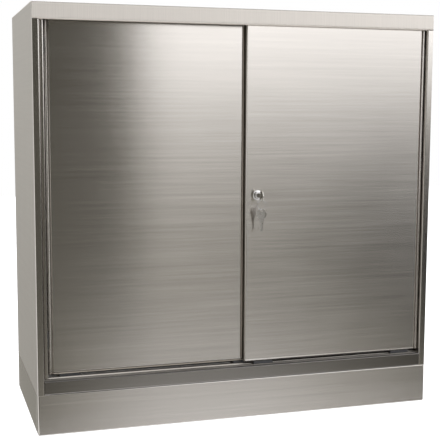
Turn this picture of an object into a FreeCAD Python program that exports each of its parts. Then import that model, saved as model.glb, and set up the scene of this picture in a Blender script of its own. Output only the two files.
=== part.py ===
# Stainless steel tool cabinet on a plinth, with two doors that roll sideways on hanging rollers.
# The right door runs in the front track and carries the lock, the left door runs behind it.
# X is centred and runs to the right, Y runs from the front to the back, Z is up from the floor.

import FreeCAD, Part
import math
import os
import Sketcher

doc = FreeCAD.newDocument("ToolCabinet")

# Driving dimensions in millimetres.
DRIVING = [
    ("width", 1000, "outside width"),
    ("depth", 440, "outside depth, without lock and keys"),
    ("height", 992, "outside height"),
    ("plinth_height", 95, "floor to the seam under the carcass"),
    ("skin", 1.2, "sheet thickness of carcass and doors"),
    ("plate", 2, "thickness of hangers, splices and bearing plates"),
    ("bend", 1.4, "inside radius of a fold"),
    ("slack", 0.2, "gap left between sheets that meet"),
    ("flange", 16.5, "width of the folds beside the doors"),
    ("flange_return", 9, "how far these folds turn back"),
    ("rear_flange", 15, "width of the folds that hold the back"),
    ("band", 38, "height of the front band above the doors"),
    ("band_roll", 3.6, "inside radius of the band's lower edge"),
    ("band_return", 8, "how far the band turns back"),
    ("rail", 32, "height of the rail under the doors"),
    ("lip", 8, "depth of the rail's top"),
    ("plinth_ear", 30, "how far the plinth's front and rear turn the corner"),
    ("plinth_flange", 28, "width of the plinth's folds"),
    ("door_thickness", 12, "depth of a folded door"),
    ("front_face", 10, "depth of the front door's face"),
    ("rear_face", 29, "depth of the rear door's face"),
    ("door_top", 958, "height of the doors' upper edge"),
    ("front_bottom", 136, "height of the front door's lower edge"),
    ("rear_bottom", 136, "height of the rear door's lower edge"),
    ("front_inner", 7.5, "inner edge of the front door, right of the middle"),
    ("rear_inner", 60, "inner edge of the rear door, right of the middle"),
    ("front_gap", 17.5, "carcass side to the front door's outer edge"),
    ("rear_gap", 30, "carcass side to the rear door's outer edge"),
    ("nose", 6.5, "width of a door's rolled outer edge"),
    ("groove", 3, "width of the groove beside the rolled edge"),
    ("groove_depth", 5, "depth of that groove"),
    ("door_return", 12, "fold round the back of a door"),
    ("ledge_drop", 30, "cabinet top down to the ledge of the track"),
    ("roller_radius", 10, "rolling radius"),
    ("roller_width", 6, "width of a roller"),
    ("roller_inset", 50, "door edge to the roller's axle"),
    ("axle_radius", 2.5, "radius of a roller's axle"),
    ("rib_top", 130, "height of the rib between the bottom tracks"),
    ("track_wall", 1.5, "wall thickness of both tracks"),
    ("track_groove", 10, "width of a groove in the bottom track"),
    ("buffer", 2, "thickness of the rubber on a jamb"),
    ("jamb", 27, "carcass side to the face of a jamb"),
    ("shelf_edge", 28, "height of a shelf's folded edge"),
    ("shelf_front", 78, "depth where the shelves begin"),
    ("lower_shelf", 400, "height of the lower shelf's top"),
    ("upper_shelf", 680, "height of the upper shelf's top"),
    ("upright_width", 25, "width of a perforated upright"),
    ("upright_depth", 12, "how far an upright stands off the side"),
    ("slot_pitch", 25, "distance between slots in an upright"),
    ("lock_offset", 37, "lock axis, right of the middle"),
    ("lock_height", 549, "lock axis above the floor"),
    ("boss_radius", 12, "radius of the lock body in front of the door"),
    ("boss_length", 6, "how far the lock body stands off the door"),
    ("barrel_radius", 9.5, "radius of the lock body through the door"),
    ("plunger_radius", 8, "radius of the push button"),
    ("plunger_reach", 9, "how far the button stands out when unlocked"),
    ("plunger_travel", 4.5, "how far the button is pushed to lock"),
    ("pin_radius", 3.5, "radius of the bolt behind the button"),
    ("plug_radius", 4.5, "radius of the turning plug"),
    ("bow_radius", 13, "radius of a key's head"),
    ("key_plate", 2.2, "thickness of a key"),
    ("key_hole", 3.5, "radius of the hole in a key's head"),
    ("ring_radius", 11, "middle radius of the key ring"),
    ("ring_wire", 0.9, "wire radius of the key ring"),
]


class Size:
    """A length, together with the spreadsheet expression that gives it."""

    def __init__(self, value, text):
        self.value = value
        self.text = text

    def __add__(self, other):
        other = as_size(other)
        return Size(self.value + other.value, f"({self.text} + {other.text})")

    def __sub__(self, other):
        other = as_size(other)
        return Size(self.value - other.value, f"({self.text} - {other.text})")

    def __rsub__(self, other):
        return as_size(other) - self

    def __mul__(self, factor):
        return Size(self.value * factor, f"({self.text} * {factor})")

    def __truediv__(self, factor):
        return Size(self.value / factor, f"({self.text} / {factor})")

    def __neg__(self):
        return self * -1

    __radd__ = __add__
    __rmul__ = __mul__


def as_size(number):
    """A plain number as a Size, and a Size as it is."""
    return number if isinstance(number, Size) else Size(number, f"({number})")


class Cells:
    """The driving dimensions by name, each one a Size that points at its cell."""


def fill_sheet():
    """Write the driving dimensions to the spreadsheet and give them back by name."""
    sheet = doc.addObject("Spreadsheet::Sheet", "Sizes")
    cells = Cells()
    for row, (name, value, note) in enumerate(DRIVING, 1):
        sheet.set(f"A{row}", name)
        sheet.set(f"B{row}", str(value))
        sheet.setAlias(f"B{row}", name)
        sheet.set(f"C{row}", note)
        setattr(cells, name, Size(value, f"Sizes.{name}"))
    doc.recompute()
    return cells


s = fill_sheet()

# Planes and lines that several pieces share, worked out from the driving dimensions.
half = s.width / 2
wall_in = half - s.skin
flange_in = half - s.flange
top_under = s.height - s.skin
band_low = s.height - s.band
floor_top = s.plinth_height + s.skin
back_in = s.depth - s.skin
ledge = s.height - s.ledge_drop
axle_height = ledge + s.roller_radius
front_door = (s.front_inner, half - s.front_gap)
rear_door = (s.rear_gap - half, s.rear_inner)
button_face = s.front_face - s.boss_length - s.plunger_reach
BOW_GAP = 3  # turned key's head to the face of the button
bow_centre = button_face - s.bow_radius - BOW_GAP
bow_front = bow_centre - s.bow_radius
# The box that holds cabinet and keys is centred on the origin, so the front plane lies here.
front = (-(bow_front + s.depth)) / 2
OVER = 1  # how far a cutting tool reaches past the sheet it cuts


def bind(thing, prop, size):
    """Tie one property of an object to the spreadsheet."""
    thing.setExpression(prop, as_size(size).text)


def place(thing, x, depth, z):
    """Put an object at x, at a depth behind the front plane, and at height z."""
    bind(thing, "Placement.Base.x", x)
    bind(thing, "Placement.Base.y", as_size(depth) + front)
    bind(thing, "Placement.Base.z", z)


def box(name, x, depth, z):
    """A block between two values on each axis."""
    block = doc.addObject("Part::Box", name)
    for prop, (low, high) in zip(("Length", "Width", "Height"), (x, depth, z)):
        bind(block, prop, as_size(high) - low)
    place(block, x[0], depth[0], z[0])
    return block


def rod(name, x, z, depth, radius):
    """A round bar that runs from front to back between two depths."""
    bar = doc.addObject("Part::Cylinder", name)
    bar.Placement.Rotation = FreeCAD.Rotation(FreeCAD.Vector(1, 0, 0), -90)
    bind(bar, "Radius", radius)
    bind(bar, "Height", as_size(depth[1]) - depth[0])
    place(bar, x, depth[0], z)
    return bar


def post(name, x, depth, z, radius):
    """An upright round bar between two heights."""
    bar = doc.addObject("Part::Cylinder", name)
    bind(bar, "Radius", radius)
    bind(bar, "Height", as_size(z[1]) - z[0])
    place(bar, x, depth, z[0])
    return bar


def disc(name, x, depth, z, radius):
    """A round plate whose axis runs from left to right between two values of x."""
    plate = doc.addObject("Part::Cylinder", name)
    plate.Placement.Rotation = FreeCAD.Rotation(FreeCAD.Vector(0, 1, 0), 90)
    bind(plate, "Radius", radius)
    bind(plate, "Height", as_size(x[1]) - x[0])
    place(plate, x[0], depth, z)
    return plate


def fuse(name, *shapes):
    """Several shapes that touch, as one solid."""
    joined = doc.addObject("Part::MultiFuse", name)
    joined.Shapes = list(shapes)
    joined.Refine = True
    return joined


def cut(name, base, *tools):
    """A shape less one or more others."""
    result = doc.addObject("Part::Cut", name)
    result.Base = base
    result.Tool = tools[0] if len(tools) == 1 else fuse(name + "Tools", *tools)
    return result


def group(name, pieces):
    """Separate solids under one name, such as a set of screws."""
    together = doc.addObject("Part::Compound", name)
    together.Links = pieces
    return together


def step(start, end):
    """The unit step from one corner of an outline to the next, along one axis."""
    across = end[0].value - start[0].value
    up = end[1].value - start[1].value
    length = math.hypot(across, up)
    return round(across / length), round(up / length)


def fold(path, side, thickness):
    """The closed outline of a folded strip.

    The path holds the corners of one face of the strip, each with the inside radius of its
    fold as a third value if that isn't the usual one. The strip lies to the right of the path
    when side is 1, and to its left when side is -1. Each corner of the outline has a radius.
    """
    path = [(as_size(p[0]), as_size(p[1]), *p[2:]) for p in path]
    steps = [step(a, b) for a, b in zip(path, path[1:])]
    face = []
    reverse = []
    for i, corner in enumerate(path):
        before = steps[i - 1] if i > 0 else (0, 0)
        after = steps[i] if i < len(steps) else (0, 0)
        shift = ((before[1] + after[1]) * side, -(before[0] + after[0]) * side)
        turn = before[0] * after[1] - before[1] * after[0]
        inner = corner[2] if len(corner) > 2 else s.bend
        outer = inner + thickness
        radii = (0, 0) if turn == 0 else (outer, inner) if turn * side < 0 else (inner, outer)
        face.append((corner[0], corner[1], radii[0]))
        reverse.append((corner[0] + thickness * shift[0], corner[1] + thickness * shift[1], radii[1]))
    return face + reverse[::-1]


def draw(sketch, outline):
    """Draw a closed outline of level and upright lines, with round corners where it has radii."""
    count = len(outline)
    spots = [FreeCAD.Vector(p[0].value, p[1].value, 0) for p in outline]
    radii = [as_size(p[2]) for p in outline]
    ways = [(spots[(i + 1) % count] - spots[i]).normalize() for i in range(count)]
    for i in range(count):
        after = (i + 1) % count
        start = spots[i] + ways[i] * radii[i].value
        end = spots[after] - ways[i] * radii[after].value
        sketch.addGeometry(Part.LineSegment(start, end), False)
    for i in range(count):
        upright = abs(ways[i].x) < abs(ways[i].y)
        kind, axis = ("DistanceX", 0) if upright else ("DistanceY", 1)
        sketch.addConstraint(Sketcher.Constraint("Vertical" if upright else "Horizontal", i))
        value = outline[i][axis].value
        index = sketch.addConstraint(Sketcher.Constraint(kind, -1, 1, i, 1, value))
        sketch.renameConstraint(index, f"line{i}")
        sketch.setExpression(f"Constraints.line{i}", outline[i][axis].text)
    for i in range(count):
        before = (i - 1) % count
        if radii[i].value == 0:
            sketch.addConstraint(Sketcher.Constraint("Coincident", before, 2, i, 1))
        else:
            round_corner(sketch, i, before, spots[i], radii[i], ways[before], ways[i])


def round_corner(sketch, line, before, spot, radius, way_in, way_out):
    """Put an arc at one corner, tangent to the lines before and after it."""
    middle = spot - way_in * radius.value + way_out * radius.value
    start = spot - way_in * radius.value - middle
    end = spot + way_out * radius.value - middle
    left_turn = way_in.cross(way_out).z > 0
    first, last = (start, end) if left_turn else (end, start)
    angle = math.atan2(first.y, first.x)
    sweep = (math.atan2(last.y, last.x) - angle) % (2 * math.pi)
    circle = Part.Circle(middle, FreeCAD.Vector(0, 0, 1), radius.value)
    arc = sketch.addGeometry(Part.ArcOfCircle(circle, angle, angle + sweep), False)
    ends = (1, 2) if left_turn else (2, 1)
    sketch.addConstraint(Sketcher.Constraint("Tangent", before, 2, arc, ends[0]))
    sketch.addConstraint(Sketcher.Constraint("Tangent", arc, ends[1], line, 1))
    index = sketch.addConstraint(Sketcher.Constraint("Radius", arc, radius.value))
    sketch.renameConstraint(index, f"fold{line}")
    sketch.setExpression(f"Constraints.fold{line}", radius.text)


def new_sketch(body, name, role):
    """An empty sketch on one of a body's own planes."""
    plane = next(item for item in body.Origin.OriginFeatures if item.Role == role)
    sketch = body.newObject("Sketcher::SketchObject", name)
    sketch.AttachmentSupport = [(plane, "")]
    sketch.MapMode = "FlatFace"
    return sketch


def pressed(name, outline, role, span):
    """A folded sheet, raised from its outline in plan or drawn out from its outline from the side."""
    body = doc.addObject("PartDesign::Body", name)
    sketch = new_sketch(body, name + "Outline", role)
    draw(sketch, outline)
    pad = body.newObject("PartDesign::Pad", name + "Pad")
    pad.Profile = sketch
    bind(pad, "Length", as_size(span[1]) - span[0])
    if role == "XY_Plane":
        place(body, 0, 0, span[0])
    else:
        place(body, span[0], 0, 0)
    return body


def from_above(name, path, side, thickness, heights):
    """A sheet folded round upright lines."""
    return pressed(name, fold(path, side, thickness), "XY_Plane", heights)


def from_the_side(name, path, side, thickness, ends):
    """A sheet folded round lines that run from left to right."""
    return pressed(name, fold(path, side, thickness), "YZ_Plane", ends)


parts = {}


def keep(node, shape):
    """Name a finished piece."""
    shape.Label = node
    parts[node] = shape


SIDES = (("left", -1), ("right", 1))

# Bolts through the plinth's folds and the carcass bottom, in from the sides and from the front.
BOLT_INSET = 14
BOLT_FIRST = 72
BOLT_RADIUS = 4
BOLT_HEAD = (6.5, 5)  # radius and height of a bolt's head and of its nut
HOLE_PLAY = 0.25  # how much larger a bolt hole is than its bolt, on the radius
BOLT_HOLE = BOLT_RADIUS + HOLE_PLAY
SPLICE_HALF = 20  # how far a splice plate reaches to each side of its seam
SPLICE_MARGIN = 8  # how far it stays away from the plinth's upper and lower edge
bolt_places = [
    (sign * (half - BOLT_INSET), depth)
    for sign in (-1, 1)
    for depth in (as_size(BOLT_FIRST), s.depth / 2, s.depth - BOLT_FIRST)
]


def bolt_holes(name, heights):
    """Tools that drill the plinth bolt holes."""
    return [
        post(f"{name}Hole{i}", x, depth, heights, BOLT_HOLE)
        for i, (x, depth) in enumerate(bolt_places)
    ]


def make_plinth():
    """An open frame of folded sheet that stands on the floor."""
    wall = s.plate
    ear = s.plinth_ear
    shelf = (s.plinth_height - wall, s.plinth_height)
    ledge_x = (-(half - s.plinth_flange), half - s.plinth_flange)
    for node, ends in (("plinth_front", (ear, 0)), ("plinth_rear", (s.depth - ear, s.depth))):
        side = -1 if node == "plinth_front" else 1
        path = [(-half, ends[0]), (-half, ends[1]), (half, ends[1]), (half, ends[0])]
        skirt = from_above(node + "Skirt", path, side, wall, (0, s.plinth_height))
        deep = (wall, s.plinth_flange) if side < 0 else (s.depth - s.plinth_flange, s.depth - wall)
        keep(node, fuse(node, skirt, box(node + "Shelf", ledge_x, deep, shelf)))
    for name, sign in SIDES:
        node = f"plinth_side_{name}"
        outer = (-half, wall - half) if sign < 0 else (half - wall, half)
        inner = (wall - half, s.plinth_flange - half)
        if sign > 0:
            inner = (half - s.plinth_flange, half - wall)
        depths = (ear, s.depth - ear)
        frame = fuse(
            node + "Frame",
            box(node + "Wall", outer, depths, (0, s.plinth_height)),
            box(node + "Shelf", inner, depths, shelf),
            box(node + "Foot", inner, depths, (0, wall)),
        )
        drill = (s.plinth_height - wall - OVER, s.plinth_height + OVER)
        keep(node, cut(node, frame, *bolt_holes(node, drill)))
    splices = []
    for name, sign in SIDES:
        x = (wall - half, wall * 2 - half) if sign < 0 else (half - wall * 2, half - wall)
        for place_name, middle in (("Front", ear), ("Rear", s.depth - ear)):
            depths = (middle - SPLICE_HALF, middle + SPLICE_HALF)
            heights = (SPLICE_MARGIN, s.plinth_height - SPLICE_MARGIN)
            splices.append(box(f"Splice{name}{place_name}", x, depths, heights))
    keep("plinth_splices", group("PlinthSplices", splices))


def make_plinth_bolts():
    """Bolts that hold the carcass on the plinth, each with its nut run up tight."""
    radius, height = BOLT_HEAD
    under = s.plinth_height - s.plate
    bolts = []
    for i, (x, depth) in enumerate(bolt_places):
        head = post(f"BoltHead{i}", x, depth, (under - height, under), radius)
        shank = post(f"BoltShank{i}", x, depth, (under, floor_top), BOLT_RADIUS)
        nut = post(f"BoltNut{i}", x, depth, (floor_top, floor_top + height), radius)
        bolts.append(fuse(f"Bolt{i}", head, shank, nut))
    keep("plinth_bolts", group("PlinthBolts", bolts))


def make_side_panels():
    """Side walls, folded round the front beside the doors and round the back."""
    for name, sign in SIDES:
        node = f"side_panel_{name}"
        path = [
            (flange_in * sign, s.flange_return),
            (flange_in * sign, 0),
            (half * sign, 0),
            (half * sign, s.depth),
            ((half - s.rear_flange) * sign, s.depth),
        ]
        sheet = from_above(node + "Sheet", path, -sign, s.skin, (s.plinth_height, top_under))
        inside = (-wall_in, -flange_in + OVER) if sign < 0 else (flange_in - OVER, wall_in)
        heights = (band_low, s.height)
        depths = (-OVER, s.depth + OVER)
        keep(node, cut(node, sheet, box(node + "Notch", inside, depths, heights)))


def make_top():
    """Top sheet with a deep band over the doors and a fold that holds the back."""
    ends = (s.slack - wall_in, wall_in - s.slack)
    path = [
        (s.band_return, band_low),
        (0, band_low, s.band_roll),
        (0, s.height),
        (s.depth, s.height),
        (s.depth, band_low),
    ]
    sheet = from_the_side("TopSheet", path, 1, s.skin, ends)
    corner = s.bend + s.skin
    cover = box("TopCover", (-half, half), (corner, s.depth - corner), (top_under, s.height))
    keep("top_panel", fuse("TopPanel", sheet, cover))


def groove_lines(face):
    """Depths of the near and the far side of the groove under a door."""
    centre = face + s.door_thickness / 2
    return centre - s.track_groove / 2, centre + s.track_groove / 2


FLOOR_GAP = 2  # bottom track to the raised floor behind it


def make_bottom():
    """Bottom sheet with the rail under the doors, and the raised floor behind the track."""
    between = (s.slack - flange_in, flange_in - s.slack)
    rail_top = s.plinth_height + s.rail
    start = s.flange_return + s.slack
    path = [
        (start, s.plinth_height),
        (0, s.plinth_height),
        (0, rail_top),
        (s.lip, rail_top),
        (s.lip, rail_top - s.lip),
    ]
    rail = from_the_side("RailSheet", path, 1, s.skin, between)
    across = (s.slack - wall_in, wall_in - s.slack)
    end = back_in - s.bend - s.slack
    sheet = box("BottomSheet", across, (start, end), (s.plinth_height, floor_top))
    drill = (s.plinth_height - OVER, floor_top + OVER)
    whole = fuse("BottomWhole", rail, sheet)
    keep("bottom_panel", cut("BottomPanel", whole, *bolt_holes("Bottom", drill)))
    begin = groove_lines(s.rear_face)[1] + s.track_wall + FLOOR_GAP
    end = back_in - s.skin - s.slack * 2
    path = [(begin, floor_top), (begin, s.rib_top), (end, s.rib_top), (end, floor_top)]
    keep("floor_panel", from_the_side("FloorPanel", path, 1, s.skin, across))


def make_back():
    """Back sheet, held inside the folds of sides and top."""
    clear = s.bend + s.slack
    across = (clear - wall_in, wall_in - clear)
    depths = (back_in - s.skin - s.slack, back_in - s.slack)
    keep("back_panel", box("BackPanel", across, depths, (floor_top, top_under - clear)))


LEDGE_DEPTH = 12  # web of a track to the far side of its ledge
LEDGE_GAP = 1.1  # ledge to the hangers that pass behind it
LEDGE_RISE = 4  # height of the ledge's upturned edge
ROOF_PAST = 8  # how far the roof of the header track reaches behind the rear ledge


def seat_line(face):
    """Depth of the back of a door's inner panel, which carries hangers and lock nut."""
    return face + s.door_thickness - s.skin - s.slack


def ledge_lines(face):
    """Depths of a track's web and of the upturned edge of its ledge."""
    edge = seat_line(face) - LEDGE_GAP
    return edge - LEDGE_DEPTH, edge


def make_tracks():
    """Header track with a ledge for the rollers of each door, and the double bottom track."""
    wall = s.track_wall
    across = (s.slack - wall_in, wall_in - s.slack)
    roof = top_under - wall
    begin = s.skin + s.bend + s.slack
    end = ledge_lines(s.rear_face)[1] + ROOF_PAST
    pieces = [box("HeaderRoof", across, (begin, end), (roof, top_under))]
    for name, face in (("Front", s.front_face), ("Rear", s.rear_face)):
        web, edge = ledge_lines(face)
        under = ledge - wall
        path = [(web, roof), (web, under), (edge, under), (edge, ledge + LEDGE_RISE)]
        pieces.append(from_the_side(f"Header{name}", path, -1, wall, across))
    keep("header_track", fuse("HeaderTrack", *pieces))
    # The corners are those of the grooves' inner faces, and the sheet lies outside them.
    front_near, front_far = groove_lines(s.front_face)
    rear_near, rear_far = groove_lines(s.rear_face)
    bed = floor_top + wall
    outer_top = s.rib_top - wall
    path = [
        (front_near, outer_top),
        (front_near, bed),
        (front_far, bed),
        (front_far, s.rib_top),
        (rear_near, s.rib_top),
        (rear_near, bed),
        (rear_far, bed),
        (rear_far, outer_top),
    ]
    keep("bottom_track", from_the_side("BottomTrack", path, 1, wall, across))


JAMB_SETBACK = 2  # face of a door to the front of the jamb it closes against
PAD_HEIGHT = 40  # height of a rubber buffer
PAD_MARGIN = 2.5  # edge of the jamb to a buffer
PAD_DROP = 80  # top of the doors to the lower end of the upper buffers


def make_jambs():
    """Channels that close the track ends and carry rubber buffers for the doors."""
    heights = (s.rib_top + s.skin, ledge - s.track_wall - s.skin)
    for name, sign, face in (("left", -1, s.front_face), ("right", 1, s.rear_face)):
        outer = (flange_in - s.skin) * sign
        inner = (half - s.jamb) * sign
        near = face + JAMB_SETBACK
        far = face + s.door_thickness
        path = [(outer, far), (outer, near), (inner, near), (inner, far)]
        keep(f"jamb_{name}", from_above(f"Jamb{name}", path, sign, s.skin, heights))
        pads = []
        depths = (near + PAD_MARGIN, far - PAD_MARGIN)
        x = (inner, inner + s.buffer) if sign < 0 else (inner - s.buffer, inner)
        for i, height in enumerate((s.lower_shelf / 2, s.door_top - PAD_DROP)):
            pads.append(box(f"Buffer{name}{i}", x, depths, (height, height + PAD_HEIGHT)))
        keep(f"jamb_buffers_{name}", group(f"Buffers{name}", pads))


def make_roller_stops():
    """Rubber blocks on the ledges where the outer rollers come to rest."""
    stops = []
    closed_front = front_door[1] - s.roller_inset + s.roller_radius
    closed_rear = rear_door[0] + s.roller_inset - s.roller_radius
    open_front = s.jamb + s.buffer - half + s.roller_inset - s.roller_radius
    open_rear = half - s.jamb - s.buffer - s.roller_inset + s.roller_radius
    places = (
        ("FrontRight", s.front_face, closed_front, 1),
        ("FrontLeft", s.front_face, open_front, -1),
        ("RearLeft", s.rear_face, closed_rear, -1),
        ("RearRight", s.rear_face, open_rear, 1),
    )
    for name, face, x, sign in places:
        web, edge = ledge_lines(face)
        near = x + s.slack * sign
        far = x + s.roller_radius * sign
        span = (near, far) if sign > 0 else (far, near)
        depths = (web + s.track_wall + s.bend, edge - s.track_wall - s.bend)
        stops.append(box(f"Stop{name}", span, depths, (ledge, ledge + s.roller_radius)))
    keep("roller_stops", group("RollerStops", stops))


SLOT_SIZE = (5, 12)  # width and height of a slot in an upright
FIRST_SLOT = 150  # height of the lowest slot's lower edge
SLOT_COUNT = 31
UPRIGHT_GAP = 10  # top of an upright to the height of the ledges
UPRIGHT_INSETS = (24, 40)  # front of the shelves and back of the carcass to an upright's middle


def make_upright(node, sign, depth):
    """A channel against the side wall, with a column of slots for the shelf clips."""
    wall = s.skin
    foot = wall_in * sign
    face = (wall_in - s.upright_depth) * sign
    near = depth - s.upright_width / 2
    far = depth + s.upright_width / 2
    path = [(foot, near), (face, near), (face, far), (foot, far)]
    heights = (s.rib_top + s.slack, ledge - UPRIGHT_GAP)
    body = from_above(node, path, sign, wall, heights)
    doc.recompute()
    solid = body.Shape.Volume
    sketch = new_sketch(body, node + "Slot", "YZ_Plane")
    low = as_size(FIRST_SLOT) - heights[0]
    wide, high = SLOT_SIZE
    corners = [(depth - wide / 2, low), (depth + wide / 2, low)]
    corners += [(depth + wide / 2, low + high), (depth - wide / 2, low + high)]
    draw(sketch, [(as_size(a), as_size(b), 0) for a, b in corners])
    pocket = body.newObject("PartDesign::Pocket", node + "Pocket")
    pocket.Profile = sketch
    pocket.Type = "Length"
    pocket.Reversed = sign > 0
    bind(pocket, "Length", wall_in)
    doc.recompute()
    pattern = body.newObject("PartDesign::LinearPattern", node + "Slots")
    pattern.Originals = [pocket]
    pattern.Direction = (sketch, ["V_Axis"])
    bind(pattern, "Length", s.slot_pitch * (SLOT_COUNT - 1))
    pattern.Occurrences = SLOT_COUNT
    body.Tip = pattern
    doc.recompute()
    if body.Shape.Volume >= solid:
        raise RuntimeError(f"{node} has no slots")
    keep(node, body)


def upright_depths():
    """Depths of the front and rear uprights."""
    ahead, behind = UPRIGHT_INSETS
    return s.shelf_front + ahead, s.depth - behind


SHELF_TURN = 10  # how far a shelf's folded edges turn back under it
SHELF_BEHIND = 6  # gap between a shelf and the back
SHELF_PLAY = 2  # gap between a shelf and the uprights at each end


def make_shelves():
    """Two loose shelves with folded edges, each on four clips in the uprights' slots."""
    face = wall_in - s.upright_depth
    for name, top in (("lower", s.lower_shelf), ("upper", s.upper_shelf)):
        begin = s.shelf_front
        end = back_in - s.skin - SHELF_BEHIND
        low = top - s.shelf_edge
        path = [
            (begin + SHELF_TURN, low),
            (begin, low),
            (begin, top),
            (end, top),
            (end, low),
            (end - SHELF_TURN, low),
        ]
        ends = (SHELF_PLAY - face, face - SHELF_PLAY)
        keep(f"shelf_{name}", from_the_side(f"Shelf{name}", path, 1, s.skin, ends))
        clips = []
        for side, sign in SIDES:
            for i, depth in enumerate(upright_depths()):
                clips.append(make_clip(f"Clip{name}{side}{i}", sign, depth, low))
        keep(f"shelf_clips_{name}", group(f"Clips{name}", clips))


TONGUE_PLAY = 1  # room round a clip's tongue above and below, and on both sides together
TONGUE_REACH = 3  # how far it reaches behind the upright's face
CLIP_LEDGE = 16  # how far a clip reaches under the shelf
CLIP_HALF = 9  # half the width of a clip
CLIP_BELOW = 4  # how far its plate reaches below the tongue


def make_clip(name, sign, depth, low):
    """A clip: a tongue through the slot, a plate on the upright and a ledge for the shelf."""
    face = wall_in - s.upright_depth
    thick = s.plate
    wide, high = SLOT_SIZE
    tongue_half = (wide - TONGUE_PLAY) / 2
    tongue_low = slot_under(low) + TONGUE_PLAY
    tongue_top = slot_under(low) + high - TONGUE_PLAY

    def across(inner, outer):
        return (inner * sign, outer * sign) if sign > 0 else (outer * sign, inner * sign)

    tongue_x = across(face - s.slack, face + s.skin + TONGUE_REACH)
    plate_x = across(face - s.slack - thick, face - s.slack)
    ledge_x = across(face - s.slack - CLIP_LEDGE, face - s.slack)
    depths = (depth - tongue_half, depth + tongue_half)
    broad = (depth - CLIP_HALF, depth + CLIP_HALF)
    under = low - thick - s.slack
    return fuse(
        name,
        box(name + "Tongue", tongue_x, depths, (tongue_low, tongue_top)),
        box(name + "Plate", plate_x, broad, (tongue_low - CLIP_BELOW, under)),
        box(name + "Ledge", ledge_x, broad, (under, low - s.slack)),
    )


def slot_under(height):
    """Lower edge of the nearest slot that a clip's tongue can use below a shelf."""
    room = height.value - s.plate.value - SLOT_SIZE[1] - FIRST_SLOT
    row = math.floor(room / s.slot_pitch.value)
    return s.slot_pitch * row + FIRST_SLOT


def door_lines(name):
    """Edges, face and lower edge of a door, and the side on which its rolled edge lies."""
    if name == "front":
        return front_door, s.front_face, s.front_bottom, 1
    return rear_door, s.rear_face, s.rear_bottom, -1


RIB_FOOT = 34  # half widths of a door's stiffening rib, over its feet and over its crown
RIB_CROWN = 20
RIB_ENDS = 20  # how far it ends below the top and above the lower edge of the door


def make_door(name):
    """A folded pan with a rolled outer edge, closed behind by a flat inner panel."""
    (left, right), face, low, sign = door_lines(name)
    back = face + s.door_thickness
    outer, inner = (right, left) if sign > 0 else (left, right)
    nose = outer - s.nose * sign
    groove = nose - s.groove * sign
    deep = face + s.groove_depth
    turn = s.door_return * sign
    path = [
        (outer - turn, back),
        (outer, back),
        (outer, face, s.bend),
        (nose, face, s.bend / 2),
        (nose, deep, s.skin / 10),
        (groove, deep, s.skin / 10),
        (groove, face, s.bend / 2),
        (inner, face, s.bend),
        (inner, back),
        (inner + turn, back),
    ]
    sheet = from_above(f"Pan{name}", path, sign, s.skin, (low, s.door_top))
    inside = (left + s.skin, right - s.skin)
    seat = seat_line(face)
    depths = (face + s.skin, seat)
    ends = [
        box(f"Pan{name}Top", inside, depths, (s.door_top - s.skin, s.door_top)),
        box(f"Pan{name}Low", inside, depths, (low, low + s.skin)),
    ]
    pan = fuse(f"Pan{name}Whole", sheet, *ends)
    cover_x = (left + s.skin + s.bend, right - s.skin - s.bend)
    cover_depth = (seat - s.skin, seat)
    cover_z = (low + s.skin + s.slack, s.door_top - s.skin - s.slack)
    cover = box(f"Cover{name}", cover_x, cover_depth, cover_z)
    spots = hanger_bolt_places(name)
    if name == "front":
        pan = cut("PanFrontBored", pan, lock_bore("PanBore"))
        cover_tools = [lock_bore("CoverBore")]
    else:
        cover_tools = []
    for i, (x, z) in enumerate(spots):
        hole = rod(f"Cover{name}Hole{i}", x, z, (face, back), HANGER_BOLT + HOLE_PLAY)
        cover_tools.append(hole)
    keep(f"{name}_door_pan", pan)
    keep(f"{name}_door_inner_panel", cut(f"CoverCut{name}", cover, *cover_tools))
    middle = (left + right) / 2
    foot = face + s.skin + s.slack
    crown = cover_depth[0] - s.slack - s.skin
    path = [
        (middle - RIB_FOOT, foot),
        (middle - RIB_CROWN, foot),
        (middle - RIB_CROWN, crown),
        (middle + RIB_CROWN, crown),
        (middle + RIB_CROWN, foot),
        (middle + RIB_FOOT, foot),
    ]
    heights = (low + RIB_ENDS, s.door_top - RIB_ENDS)
    keep(f"{name}_door_stiffener", from_above(f"Stiff{name}", path, -1, s.skin, heights))


BARREL_PLAY = 0.1  # room round the lock body in the door, on the radius


def lock_bore(name):
    """A tool for the round hole that takes the lock body."""
    depths = (s.front_face - OVER, s.front_face + s.door_thickness + OVER)
    return rod(name, s.lock_offset, s.lock_height, depths, s.barrel_radius + BARREL_PLAY)


HANGER_HALF = 18  # half the width of a hanger
HANGER_REACH = (48, 6)  # how far it reaches below the door's top and above the axle
HANGER_BOLT = 2.5  # radius of its bolts
HANGER_HEAD = (4.5, 2)  # radius and height of their heads
HANGER_GRIP = 3  # how far they reach in front of the inner panel's back
BOLT_SPREAD = 11  # the two upper bolts, left and right of the axle
BOLT_DROPS = (20, 38)  # upper and lower bolts below the door's top
RIVET = (4.5, 1.5)  # radius and height of an axle's riveted end
AXLE_CAP = (4, 1)  # radius and thickness of an axle's head
AXLE_PLAY = 0.02  # room round an axle in its hanger, on the radius
ROLLER_PLAY = 0.05  # room round an axle in its roller, and under the roller
ROLLER_GAP = 1  # roller to the ledge's upturned edge
SHOE_HALF = 25  # half the length of a guide shoe
SHOE_PLAY = 1  # guide shoe to the sides of its groove
SHOE_RISE = 4  # guide shoe to the bed of its groove


def roller_places(name):
    """Where a door's rollers sit from left to right."""
    (left, right), _, _, _ = door_lines(name)
    return (("left", left + s.roller_inset), ("right", right - s.roller_inset))


def hanger_bolt_places(name):
    """Where bolts hold the hangers to a door."""
    upper, lower = BOLT_DROPS
    return [
        (x + offset, s.door_top - drop)
        for _, x in roller_places(name)
        for offset, drop in ((-BOLT_SPREAD, upper), (BOLT_SPREAD, upper), (0, lower))
    ]


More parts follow.
